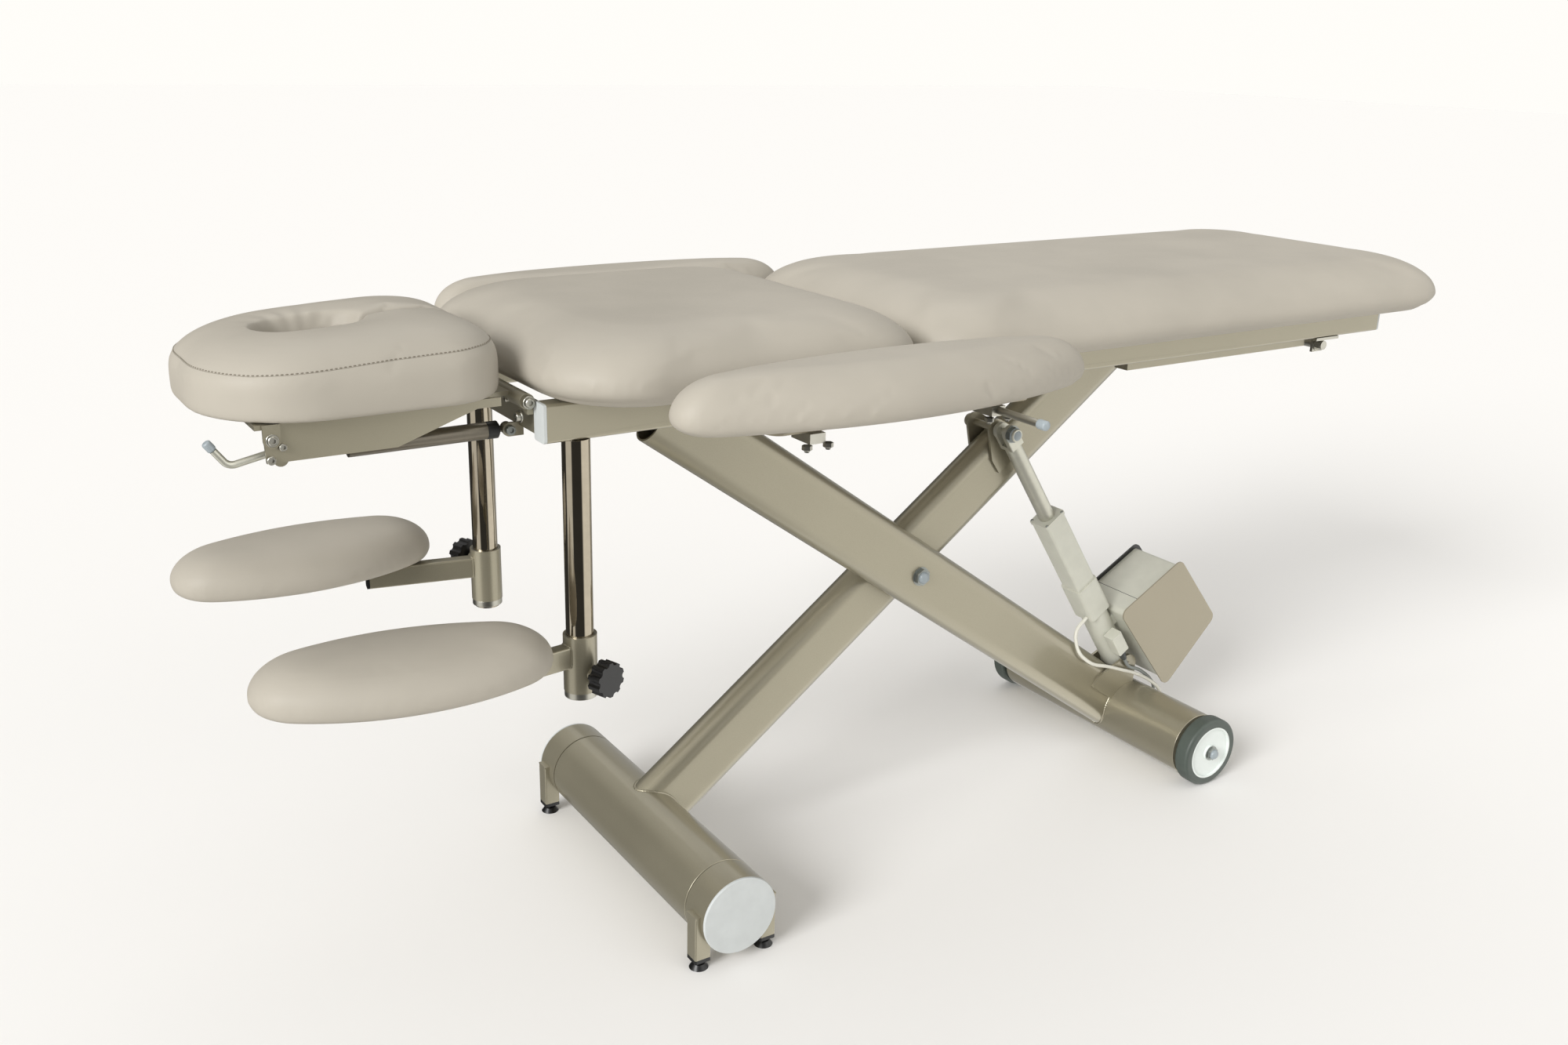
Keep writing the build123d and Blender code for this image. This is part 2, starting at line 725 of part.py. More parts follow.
def make_channels():
    """Makes the two C-channels that the guide rollers run in."""
    inner_half = roller_radius + roller_play
    channels = []
    for side in sides:
        x_from = roller_x - channel_lengths[0]
        x_to = roller_x + channel_lengths[1]
        low, high = span(side, rail_inner - channel_wall, rail_inner)
        channel = block(x_from, x_to, low, high, roller_z - inner_half - channel_wall,
                        roller_z + inner_half + channel_wall)
        low, high = span(side, rail_inner - channel_wall - channel_lip,
                         rail_inner - channel_wall)
        for z_from in (roller_z - inner_half - channel_wall, roller_z + inner_half):
            channel += block(x_from, x_to, low, high, z_from, z_from + channel_wall)
        channels.append(channel)
    save(channels, "guide_channels")


def make_head_bracket():
    """Makes the head-end plate with the hinge knuckles, hinge pin and gas spring lug."""
    plate_back = rail_head_x + head_plate_thickness
    plate_top = rail_top - head_plate_drop
    bracket = block(rail_head_x, plate_back, -rail_inner, rail_inner,
                    plate_top - head_plate_height, plate_top)
    for side in sides:
        low, high = span(side, hinge_knuckle_inner, hinge_knuckle_inner + knuckle_length)
        bracket += block(hinge_x, plate_back, low, high, hinge_z - 2 * hinge_radius + head_plate_drop,
                         plate_top)
        bracket += cross_rod(hinge_radius, hinge_x, hinge_z, low, high)
    bracket += cross_rod(hinge_pin_radius, hinge_x, hinge_z, -hinge_half, hinge_half)
    eye_near = gas_y - gas_eye_width / 2
    lug_low = eye_near - soft_clearance - gas_lug_thickness
    bracket += block(gas_frame_x, plate_back, lug_low, lug_low + gas_lug_thickness,
                     gas_frame_z - gas_lug_width / 2, gas_frame_z + gas_lug_width / 2)
    bracket += cross_rod(gas_lug_width / 2, gas_frame_x, gas_frame_z, lug_low,
                         lug_low + gas_lug_thickness)
    bracket += block(rail_head_x, plate_back, lug_low, lug_low + gas_lug_thickness,
                     gas_frame_z, plate_top)
    bracket += cross_rod(gas_pin_radius, gas_frame_x, gas_frame_z, lug_low,
                         gas_y + gas_eye_width / 2 + washer_thickness)
    save(bracket, "head_end_bracket")


def make_foot_bar():
    """Makes the foot-end cross bar with its tabs, washers and nuts."""
    bar = cross_rod(foot_bar_radius, foot_bar_x, foot_bar_z, -foot_bar_half, foot_bar_half)
    for side in sides:
        low, high = span(side, rail_inner, rail_inner + rail_width)
        bar += block(foot_bar_x - foot_tab_width / 2 - foot_bar_radius,
                     foot_bar_x + foot_tab_width / 2 - foot_bar_radius, low, high,
                     rail_bottom - foot_tab_thickness, rail_bottom)
        low, high = span(side, rail_inner, rail_inner + foot_tab_thickness)
        bar += block(foot_bar_x - foot_bar_radius - foot_tab_thickness,
                     foot_bar_x + foot_bar_radius + foot_tab_thickness, low, high,
                     foot_bar_z - foot_bar_radius - foot_tab_thickness, rail_bottom)
        washer_from = rail_inner + foot_tab_thickness
        low, high = span(side, washer_from, washer_from + washer_thickness)
        bar += cross_rod(washer_radius, foot_bar_x, foot_bar_z, low, high)
        nut_plane = Plane(origin=(foot_bar_x, side * (washer_from + washer_thickness),
                                  foot_bar_z), z_dir=(0, side, 0))
        bar += extrude(nut_plane * RegularPolygon(nut_width / 2, 6, major_radius=False),
                       nut_height)
    save(bar, "foot_cross_bar")


def rounded_face(x_from, x_to, half, corners, inset):
    """Draws a cushion's plan with its own corner radius at each end, drawn in by an inset."""
    plan = Pos((x_from + x_to) / 2, 0) * Rectangle(x_to - x_from - 2 * inset,
                                                   2 * (half - inset))
    share = 1 - inset / half
    plan = fillet(plan.vertices().sort_by(Axis.X)[:2], corners[0] * share)
    return fillet(plan.vertices().sort_by(Axis.X)[-2:], corners[1] * share)


def oval_face(length, width, end_radius, inset):
    """Draws an oval plan of two end arcs and two long side arcs that meet them smoothly."""
    half_length = length / 2 - inset
    half_width = width / 2 - inset
    radius = end_radius * (1 - 2 * inset / width)
    middle = half_length - radius
    long_radius = (middle ** 2 + half_width ** 2 - radius ** 2) / (2 * (half_width - radius))
    stretch = radius / (long_radius - radius)
    join_x = middle + middle * stretch
    join_y = (long_radius - half_width) * stretch
    top = ThreePointArc((-join_x, join_y), (0, half_width), (join_x, join_y))
    right = ThreePointArc((join_x, join_y), (half_length, 0), (join_x, -join_y))
    bottom = ThreePointArc((join_x, -join_y), (0, -half_width), (-join_x, -join_y))
    left = ThreePointArc((-join_x, -join_y), (-half_length, 0), (-join_x, join_y))
    return make_face(Curve() + [top, right, bottom, left])


def dome_levels(height, tuck, reach):
    """Lists a cushion's rises and insets: a tucked bottom, a nose and an elliptic dome."""
    nose = height * nose_height_share
    levels = []
    for step in range(tuck_steps):
        angle = math.pi / 2 * step / tuck_steps
        levels.append((nose * (1 - math.cos(angle)), tuck * (1 - math.sin(angle))))
    for step in range(dome_steps + 1):
        angle = math.pi / 2 * step / dome_steps
        levels.append((nose + (height - nose) * math.sin(angle), reach * (1 - math.cos(angle))))
    return levels


def padded_solid(plan, z_bottom, levels):
    """Lofts a cushion through its plan drawn in by each level's inset."""
    return loft([Pos(0, 0, z_bottom + rise) * plan(inset) for rise, inset in levels], ruled=True)


def make_cushions():
    """Builds the chest and leg cushions on the rails."""
    bottom = rail_top + soft_clearance

    def chest_plan(inset):
        return rounded_face(chest_head_x, chest_foot_x, chest_half, chest_corners, inset)

    def leg_plan(inset):
        return rounded_face(leg_head_x, leg_foot_x, leg_half, leg_corners, inset)

    levels = dome_levels(cushion_height, cushion_tuck, cushion_dome)
    chest = padded_solid(chest_plan, bottom, levels)
    leg = padded_solid(leg_plan, bottom, levels)
    save(chest, "chest_cushion")
    save(leg, "leg_cushion")


def make_head_section():
    """Builds the tilting head frame and its cushion with the face hole."""
    def plan(inset):
        return rounded_face(head_tip_x, head_end_x, head_half, head_corners, inset)

    depth = head_top - head_bottom
    wall = depth - head_dome_drop
    levels = [(0, head_tuck), (head_tuck_rise / 3, head_tuck / 3), (head_tuck_rise, 0)]
    for step in range(dome_steps + 1):
        angle = math.pi / 2 * step / dome_steps
        levels.append((wall + head_dome_drop * math.sin(angle), head_dome * (1 - math.cos(angle))))
    middle_x = (head_tip_x + head_end_x) / 2
    sections = []
    for rise, inset in levels:
        wedge = Rot(0, -head_wedge_angle * rise / depth, 0)
        place = Pos(middle_x, 0, head_bottom + rise) * wedge * Pos(-middle_x, 0)
        sections.append(place * plan(inset))
    cushion = loft(sections, ruled=True)
    hole = Pos(face_hole_x, 0) * SlotOverall(face_hole_length, face_hole_width)
    slit_reach = head_end_x + overrun - face_hole_x
    hole += Pos(face_hole_x + slit_reach / 2, 0) * Rectangle(slit_reach, face_slit_width)
    cushion -= Pos(0, 0, head_bottom - overrun) * extrude(hole, depth + 4 * overrun)
    mouth = Pos(face_hole_x, 0) * SlotOverall(face_hole_length + 2 * face_hole_lip,
                                              face_hole_width + 2 * face_hole_lip)
    throat = Pos(face_hole_x, 0) * SlotOverall(face_hole_length, face_hole_width)
    cushion -= loft([Pos(0, 0, head_top - 2 * face_hole_lip) * throat,
                     Pos(0, 0, head_top + overrun) * mouth])
    save(cushion, "head_cushion")
    outline = Polyline((head_side_tip_x, head_frame_top), (head_side_low_x[0], head_side_bottom),
                       (head_side_low_x[1], head_side_bottom),
                       (head_side_low_x[2], head_side_end_z),
                       (head_side_end_x, head_side_end_z), (head_side_end_x, head_frame_top),
                       close=True)
    profile = make_face(outline)
    frame = cross_ring(hinge_radius, hinge_pin_radius + running_clearance, hinge_x, hinge_z,
                       -hinge_knuckle_inner + soft_clearance,
                       hinge_knuckle_inner - soft_clearance)
    outer = head_side_inner + head_side_thickness
    for side in sides:
        low, high = span(side, head_side_inner, outer)
        frame += side_profile(profile, low, high)
        low, high = span(side, hinge_knuckle_inner - head_cross_widths[1],
                         hinge_knuckle_inner - head_arm_thickness)
        frame += block(head_cross_xs[1], hinge_x - hinge_pin_radius - head_arm_thickness / 2,
                       low, high, head_frame_top - head_arm_thickness, head_frame_top)
    for x, width in zip(head_cross_xs, head_cross_widths):
        frame += block(x - width / 2, x + width / 2, -outer, outer,
                       head_frame_top - head_arm_thickness, head_frame_top)
    frame += block(gas_head_x - gas_shelf_width / 2, gas_head_x + gas_shelf_width / 2, -outer,
                   -gas_shelf_inner, head_frame_top - head_arm_thickness, head_frame_top)
    eye_near = gas_y - gas_eye_width / 2
    lug_low = eye_near - soft_clearance - gas_lug_thickness
    frame += block(gas_head_x - gas_lug_width / 2, gas_head_x + gas_lug_width / 2, lug_low,
                   lug_low + gas_lug_thickness, gas_head_z, head_frame_top)
    frame += cross_rod(gas_lug_width / 2, gas_head_x, gas_head_z, lug_low,
                       lug_low + gas_lug_thickness)
    lever_far = lever_y + lever_eye_radius
    frame += cross_rod(lever_radius, lever_x, lever_z, -head_side_inner, lever_far)
    save(frame, "head_frame")
    make_gas_spring()
    make_lever()


def make_gas_spring():
    """Makes the gas spring's cylinder and its rod."""
    cylinder_start = gas_frame_x - gas_radius - gas_eye_radius / 2
    half_eye = gas_eye_width / 2
    hidden = gas_cylinder_length / 3
    cylinder = rod(gas_radius, gas_cylinder_length, (cylinder_start, gas_y, gas_frame_z),
                   (-1, 0, 0))
    cylinder += rod(gas_rod_radius, gas_frame_x - cylinder_start,
                    (gas_frame_x, gas_y, gas_frame_z), (-1, 0, 0))
    cylinder += cross_rod(gas_eye_radius, gas_frame_x, gas_frame_z, gas_y - half_eye,
                          gas_y + half_eye)
    cylinder -= cross_rod(gas_pin_radius + running_clearance, gas_frame_x, gas_frame_z,
                          gas_y - gas_eye_width, gas_y + gas_eye_width)
    mouth = cylinder_start - gas_cylinder_length
    cylinder -= rod(gas_rod_radius + running_clearance, 2 * hidden, (mouth, gas_y, gas_frame_z),
                    (1, 0, 0))
    save(cylinder, "gas_spring_cylinder")
    piston = rod(gas_rod_radius, mouth + hidden - gas_head_x,
                 (gas_head_x, gas_y, gas_head_z), (1, 0, 0))
    piston += cross_rod(gas_eye_radius, gas_head_x, gas_head_z, gas_y - half_eye,
                        gas_y + half_eye + washer_thickness)
    save(piston, "gas_spring_rod")


def make_lever():
    """Makes the bent release lever with its end cap."""
    half_eye = lever_eye_radius / 2
    lever = cross_ring(lever_eye_radius, lever_radius + running_clearance, lever_x, lever_z,
                       lever_y - half_eye, lever_y + half_eye)
    knee = Vector(lever_x + lever_points_x[1], lever_y, lever_z + lever_points_z[1])
    tip = Vector(lever_x + lever_points_x[2], lever_y, lever_z + lever_points_z[2])
    first = (knee - Vector(lever_x, lever_y, lever_z)).normalized()
    start = Vector(lever_x, lever_y, lever_z) + first * (lever_eye_radius - lever_radius / 2)
    second = (tip - knee).normalized()
    grip_start = tip - second * (lever_grip_length / 2)
    path = FilletPolyline(start, knee, grip_start, radius=lever_bend_radius)
    lever += sweep(Plane(origin=path @ 0, z_dir=path % 0) * Circle(lever_radius), path=path)
    grip = rod(lever_grip_radius, lever_grip_length, grip_start, second)
    grip = fillet(grip.edges().filter_by(GeomType.CIRCLE), lever_grip_radius / 2)
    save([lever, grip], "release_lever")


def make_armrests():
    """Builds the two armrests: liner, sleeve with bar, cap, knob and pad."""
    rail_y = rail_inner + rail_width / 2
    for index, (side, name) in enumerate(zip(sides, side_names)):
        bottom = sleeve_bottoms[index]
        axis_y = side * rail_y
        foot = (post_x, axis_y, bottom)
        inner = sleeve_radius - sleeve_wall
        liner = rod(inner - running_clearance, sleeve_height, foot, (0, 0, 1))
        liner_foot = (post_x, axis_y, bottom - liner_drop)
        liner += rod(inner + liner_flange / 2, liner_drop, liner_foot, (0, 0, 1))
        liner -= rod(post_radius + running_clearance, sleeve_height + 2 * liner_drop,
                     (post_x, axis_y, bottom - 2 * liner_drop), (0, 0, 1))
        save(liner, f"liner_bush_{name}")
        swing = math.radians(swings[index])
        way = Vector(-math.cos(swing), side * math.sin(swing), 0)
        bar_z = bottom + bar_rise + bar_height / 2
        bar_plane = Plane(origin=(post_x, axis_y, bar_z), x_dir=(way.Y, -way.X, 0), z_dir=way)
        arm = box_tube(bar_width, bar_height, bar_reach, sleeve_wall, bar_edge, bar_plane)
        arm -= rod(sleeve_radius, sleeve_height, foot, (0, 0, 1))
        sleeve = rod(sleeve_radius, sleeve_height, foot, (0, 0, 1))
        knob_angle = math.radians(knob_directions[index])
        knob_way = Vector(math.cos(knob_angle), math.sin(knob_angle), 0)
        knob_z = bottom + knob_rises[index]
        centre = Vector(post_x, axis_y, knob_z)
        sleeve += rod(knob_boss_radius, sleeve_radius + knob_boss_length, centre, knob_way)
        sleeve -= rod(knob_screw_radius + running_clearance, knob_distance, centre, knob_way)
        sleeve -= rod(inner, sleeve_height + 2 * overrun, (post_x, axis_y, bottom - overrun),
                      (0, 0, 1))
        save([arm, sleeve], f"armrest_arm_{name}")
        end = Plane(origin=Vector(post_x, axis_y, bar_z) + way * bar_reach,
                    x_dir=(way.Y, -way.X, 0), z_dir=way)
        cap = box_bar(bar_width, bar_height, bar_cap_thickness, bar_edge, end)
        save(cap, f"armrest_cap_{name}")
        save(make_knob(centre, knob_way), f"armrest_knob_{name}")
        pad_z = bottom + bar_rise + bar_height + soft_clearance
        centre_x, centre_y = arm_pad_centres[index]
        place = Pos(centre_x, centre_y, 0) * Rot(0, 0, arm_pad_turns[index])

        def plan(inset):
            return place * oval_face(arm_pad_length, arm_pad_width, arm_pad_end, inset)

        pad = padded_solid(plan, pad_z, dome_levels(arm_pad_height, arm_pad_tuck, pad_dome))
        save(pad, f"arm_pad_{name}")


def make_knob(centre, way):
    """Makes a lobed clamping knob on its screw."""
    plane = Plane(origin=centre + way * knob_distance, z_dir=way)
    outline = Circle(knob_radius)
    for turn in range(knob_lobes):
        angle = 360 / knob_lobes * turn
        outline -= Rot(0, 0, angle) * Pos(knob_radius + knob_scallop / 3, 0) * Circle(
            knob_scallop)
    knob = extrude(plane * outline, knob_thickness)
    tip = sleeve_radius - sleeve_wall / 2
    knob += rod(knob_screw_radius, knob_distance - tip, centre + way * tip, way)
    return knob


def make_side_pads():
    """Builds the two sliding side pads with their plates, rods and pull caps."""
    rod_z = rail_top - rod_drop
    plate_bottom = rod_z + rod_radius
    plate_top = plate_bottom + side_plate_thickness
    for side, name in zip(sides, side_names):
        place = Pos(side_pad_x, side * side_pad_y, 0)

        def plan(inset):
            return place * oval_face(side_pad_length, side_pad_width, side_pad_end, inset)

        pad_bottom = plate_top + soft_clearance
        pad = padded_solid(plan, pad_bottom, dome_levels(side_pad_height, side_pad_tuck, pad_dome))
        save(pad, f"side_pad_{name}")
        plate_y = side * (side_plate_outer - side_plate_width / 2)
        plate = Pos(side_pad_x, plate_y, plate_bottom) * extrude(
            RectangleRounded(side_plate_length, side_plate_width, side_plate_corner),
            side_plate_thickness)
        save(plate, f"side_plate_{name}")
        rods = []
        for x, outer in zip(receiver_xs, (rod_outer_clip, rod_outer_pull)):
            low, high = span(side, rod_inner, outer)
            bar = cross_rod(rod_radius, x, rod_z, low, high)
            inner_width = receiver_width - 2 * (receiver_wall + guide_block_play)
            inner_height = receiver_height - 2 * (receiver_wall + guide_block_play)
            low, high = span(side, rod_inner, rod_inner + guide_block_length)
            middle_z = rail_top - receiver_height / 2
            bar += block(x - inner_width / 2, x + inner_width / 2, low, high,
                         middle_z - inner_height / 2, middle_z + inner_height / 2)
            low, high = span(side, rod_outer_clip - clip_length, rod_outer_clip)
            bar += block(x - clip_width / 2, x + clip_width / 2, low, high,
                         rod_z - rod_radius - clip_thickness, plate_bottom)
            rods.append(bar)
        save(rods, f"side_rods_{name}")
        low, high = span(side, rod_outer_pull - pull_cap_wall,
                         rod_outer_pull - pull_cap_wall + pull_cap_length)
        cap = cross_rod(pull_cap_radius, receiver_xs[1], rod_z, low, high)
        cap = fillet(cap.edges().filter_by(GeomType.CIRCLE), pull_cap_radius / 4)
        hole_low, hole_high = span(side, rod_outer_pull - 2 * pull_cap_wall, rod_outer_pull)
        cap -= cross_rod(rod_radius, receiver_xs[1], rod_z, hole_low, hole_high)
        save(cap, f"pull_cap_{name}")


# Actuator frame: distances along its axis from the upper pin and across it
actuator_way = Vector(actuator_foot_x - actuator_top_x, 0,
                      actuator_foot_z - actuator_top_z).normalized()
actuator_across = Vector(-actuator_way.Z, 0, actuator_way.X)
actuator_length = math.hypot(actuator_foot_x - actuator_top_x,
                             actuator_foot_z - actuator_top_z)


def actuator_point(along, across=0, y=actuator_y):
    """Gives a place from the upper pin, along and across the actuator."""
    top = Vector(actuator_top_x, y, actuator_top_z)
    return top + actuator_way * along + actuator_across * across


def actuator_plane(along):
    """Gives the plane square to the actuator, its X axis along Y."""
    return Plane(origin=actuator_point(along), x_dir=(0, 1, 0), z_dir=actuator_way)


def box_sketch():
    """Draws the control box's outline in X and Z."""
    points = []
    for along, across in zip(box_corners_along, box_corners_across):
        place = actuator_point(along, across)
        points.append((place.X, place.Z))
    return make_face(Polyline(*points, close=True))


def make_actuator():
    """Builds the actuator's housing, rod and fork, and the control box beside it."""
    housing_from = actuator_rod_visible
    housing_to = housing_from + housing_length
    housing_depth = 2 * (arm_1_near - ear_thickness - housing_ear_gap - actuator_y)
    body = box_bar(housing_depth, housing_plate_side, housing_plate, housing_edge,
                   actuator_plane(housing_from))
    body += box_bar(housing_depth, housing_side, housing_length - housing_plate, housing_edge,
                    actuator_plane(housing_from + housing_plate))
    case_to = housing_to + gear_case_length
    body += box_bar(gear_case_reach, 2 * gear_case_half, gear_case_length, 2 * housing_edge,
                    actuator_plane(housing_to))
    body += extrude(actuator_plane(case_to) * Circle(lower_body_radius),
                    actuator_length - case_to - lower_body_setback)
    eye_half = lower_eye_width / 2
    body += cross_rod(lower_eye_radius, actuator_foot_x, actuator_foot_z,
                      actuator_y - eye_half, actuator_y + eye_half)
    body -= cross_rod(actuator_pin_radius + running_clearance, actuator_foot_x,
                      actuator_foot_z, actuator_y - 2 * eye_half, actuator_y + 2 * eye_half)
    body -= extrude(actuator_plane(housing_from) * Circle(actuator_rod_radius
                                                          + running_clearance),
                    actuator_stroke_room)
    outline = fillet(box_sketch().vertices(), box_corner)
    control = side_profile(outline, box_near_y, box_far_y)
    bracket_from = actuator_point(box_corners_along[1] + box_corner, 0)
    bracket = box_bar(gear_case_reach / 2, box_corners_across[3], lower_body_radius,
                      housing_edge / 2,
                      Plane(origin=bracket_from + actuator_across * (box_corners_across[3] / 2),
                            x_dir=(0, 1, 0), z_dir=actuator_way))
    body += bracket - control
    save(body, "actuator_body")
    save(control, "control_box")
    plate_outline = fillet(offset(box_sketch(), box_inset, kind=Kind.INTERSECTION).vertices(),
                           box_plate_corner)
    save(side_profile(plate_outline, box_near_y - box_plate_thickness, box_near_y),
         "box_plate_near")
    save(side_profile(plate_outline, box_far_y, box_far_y + box_plate_thickness),
         "box_plate_far")
    make_plug(case_to)
    make_actuator_rod()


def make_plug(case_to):
    """Makes the lead's plug, seated on the actuator's round lower body, and its boot."""
    start = actuator_point(plug_along, plug_across, plug_y)
    plane = Plane(origin=start, x_dir=(0, 1, 0), z_dir=actuator_way)
    plug = box_bar(plug_width, plug_depth, plug_length, housing_edge / 2, plane)
    plug -= extrude(actuator_plane(case_to) * Circle(lower_body_radius),
                    actuator_length - case_to)
    tip = Plane(origin=actuator_point(plug_along + plug_length, plug_across, plug_y),
                x_dir=(0, 1, 0), z_dir=actuator_way)
    boot = tip * Cone(boot_radius, boot_tip_radius, boot_length,
                      align=(Align.CENTER, Align.CENTER, Align.MIN))
    save([plug, boot], "control_plug")


def make_leads():
    """Makes the two leads as straight runs joined by tangent arcs."""
    leads = []
    for points in (motor_lead, plug_lead):
        corners = [Vector(*point) for point in points]
        radii = []
        for before, corner, after in zip(corners, corners[1:], corners[2:]):
            run_in = corner - before
            run_out = after - corner
            half_turn = math.radians(run_in.get_angle(run_out)) / 2
            shorter = min(run_in.length, run_out.length)
            radii.append(lead_bend_share * shorter / math.tan(half_turn))
        path = FilletPolyline(*points, radius=radii)
        section = Plane(origin=path @ 0, z_dir=path % 0) * Circle(lead_radius)
        leads.append(sweep(section, path=path))
    save(leads, "actuator_leads")


def make_actuator_rod():
    """Makes the actuator's rod with its slotted fork, stub bolt and cap."""
    piston = extrude(actuator_plane(fork_length - housing_edge) * Circle(actuator_rod_radius),
                     actuator_rod_visible + actuator_rod_hidden - fork_length + housing_edge)
    low = actuator_y - fork_width / 2
    high = actuator_y + fork_width / 2
    shank = box_bar(fork_width, 2 * fork_radius, fork_length, housing_edge / 2,
                    actuator_plane(0))
    fork = shank + cross_rod(fork_radius, actuator_top_x, actuator_top_z, low, high)
    slot_plane = actuator_plane(-2 * fork_radius)
    fork -= extrude(slot_plane * Rectangle(fork_slot, 4 * fork_radius),
                    2 * fork_radius + fork_length - 2 * housing_edge)
    bolt = cross_rod(actuator_pin_radius, actuator_top_x, actuator_top_z,
                     low - washer_thickness, high)
    bolt += cross_rod(fork_spacer_radius, actuator_top_x, actuator_top_z, high,
                      arm_1_near - ear_thickness - soft_clearance)
    cap = cross_rod(nut_cap_radius, actuator_top_x, actuator_top_z,
                    low - washer_thickness - nut_cap_height, low)
    cap = fillet(cap.faces().sort_by(Axis.Y)[0].edges(), washer_thickness)
    save(piston + fork + bolt + cap, "actuator_rod")


def main():
    """Builds every node and writes one STEP file for each."""
    os.makedirs("parts", exist_ok=True)
    section_inner = make_base()
    make_arm_1(section_inner)
    make_arm_2()
    make_wheels()
    make_top_frame()
    make_cushions()
    make_head_section()
    make_armrests()
    make_side_pads()
    make_actuator()
    make_leads()


main()
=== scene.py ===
import json
import logging
import math
from dataclasses import dataclass, field
from enum import Enum

import bmesh
import bpy
import numpy as np
from mathutils import Matrix, Vector
from mathutils.bvhtree import BVHTree

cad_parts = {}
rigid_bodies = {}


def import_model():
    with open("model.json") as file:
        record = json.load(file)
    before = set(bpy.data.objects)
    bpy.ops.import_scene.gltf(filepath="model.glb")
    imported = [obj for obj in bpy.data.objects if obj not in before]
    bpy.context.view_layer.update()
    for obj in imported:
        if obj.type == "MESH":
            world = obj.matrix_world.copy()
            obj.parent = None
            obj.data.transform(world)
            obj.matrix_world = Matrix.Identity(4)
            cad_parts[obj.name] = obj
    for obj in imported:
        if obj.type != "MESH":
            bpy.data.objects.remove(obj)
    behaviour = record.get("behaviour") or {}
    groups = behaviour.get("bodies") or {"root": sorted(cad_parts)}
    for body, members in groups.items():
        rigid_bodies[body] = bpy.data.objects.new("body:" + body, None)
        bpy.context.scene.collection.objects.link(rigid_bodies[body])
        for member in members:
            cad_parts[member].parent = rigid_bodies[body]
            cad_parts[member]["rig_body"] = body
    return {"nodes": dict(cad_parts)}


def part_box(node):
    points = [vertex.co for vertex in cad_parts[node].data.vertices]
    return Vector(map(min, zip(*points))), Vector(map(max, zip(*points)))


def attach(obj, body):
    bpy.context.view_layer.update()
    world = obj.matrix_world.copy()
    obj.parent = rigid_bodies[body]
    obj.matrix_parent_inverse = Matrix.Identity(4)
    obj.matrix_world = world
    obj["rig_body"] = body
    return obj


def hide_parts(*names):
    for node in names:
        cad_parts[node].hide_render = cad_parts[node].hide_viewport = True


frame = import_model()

Place = tuple[float, float, float]
Pair = tuple[float, float]
Profile = np.ndarray | tuple[Pair, ...]
Feeds = dict[str | int, object]

LOG = logging.getLogger("massage_table")
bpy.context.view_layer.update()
MM = 0.001  # metres in a millimetre
MERGE = 2e-5  # metres under which two points are one
SLIVER = 1e-6  # metres under which an edge is dissolved
SHARP = math.radians(32)  # turn between two faces from which their edge stays sharp
MADE: dict[str, bpy.types.Material] = {}  # each finish's material, once made


def linear(colour: Place) -> np.ndarray:
    """Turns a display colour into Blender's linear colour.

    A share of full light up to 0.04045 is divided by 12.92. A higher one is the power 2.4
    of the share plus 0.055, over 1.055.

    Args:
        colour: Red, green and blue, 0 to 255.

    Returns:
        Linear red, green and blue.
    """
    shares = np.array(colour) / 255
    return np.where(shares <= 0.04045, shares / 12.92, ((shares + 0.055) / 1.055) ** 2.4)


class Nodes:
    """A node tree with short ways to fill it."""

    def __init__(self, tree: bpy.types.NodeTree) -> None:
        """Empties the tree and keeps it."""
        self.tree = tree
        tree.nodes.clear()

    def feed(self, node: bpy.types.Node, feeds: Feeds) -> None:
        """Sets a node's inputs.

        Args:
            node: The node.
            feeds: For inputs by name or number, a value or the socket that leads there.
        """
        for key, value in feeds.items():
            if isinstance(value, bpy.types.NodeSocket):
                self.tree.links.new(value, node.inputs[key])
            else:
                node.inputs[key].default_value = value

    def node(self, kind: str, feeds: Feeds | None = None, **settings: str) -> bpy.types.Node:
        """Adds a node.

        Args:
            kind: Its type, without the leading word ShaderNode.
            feeds: Its inputs, as feed takes them.
            settings: Its own settings.

        Returns:
            The node.
        """
        made = self.tree.nodes.new("ShaderNode" + kind)
        for key, value in settings.items():
            setattr(made, key, value)
        self.feed(made, feeds or {})
        return made


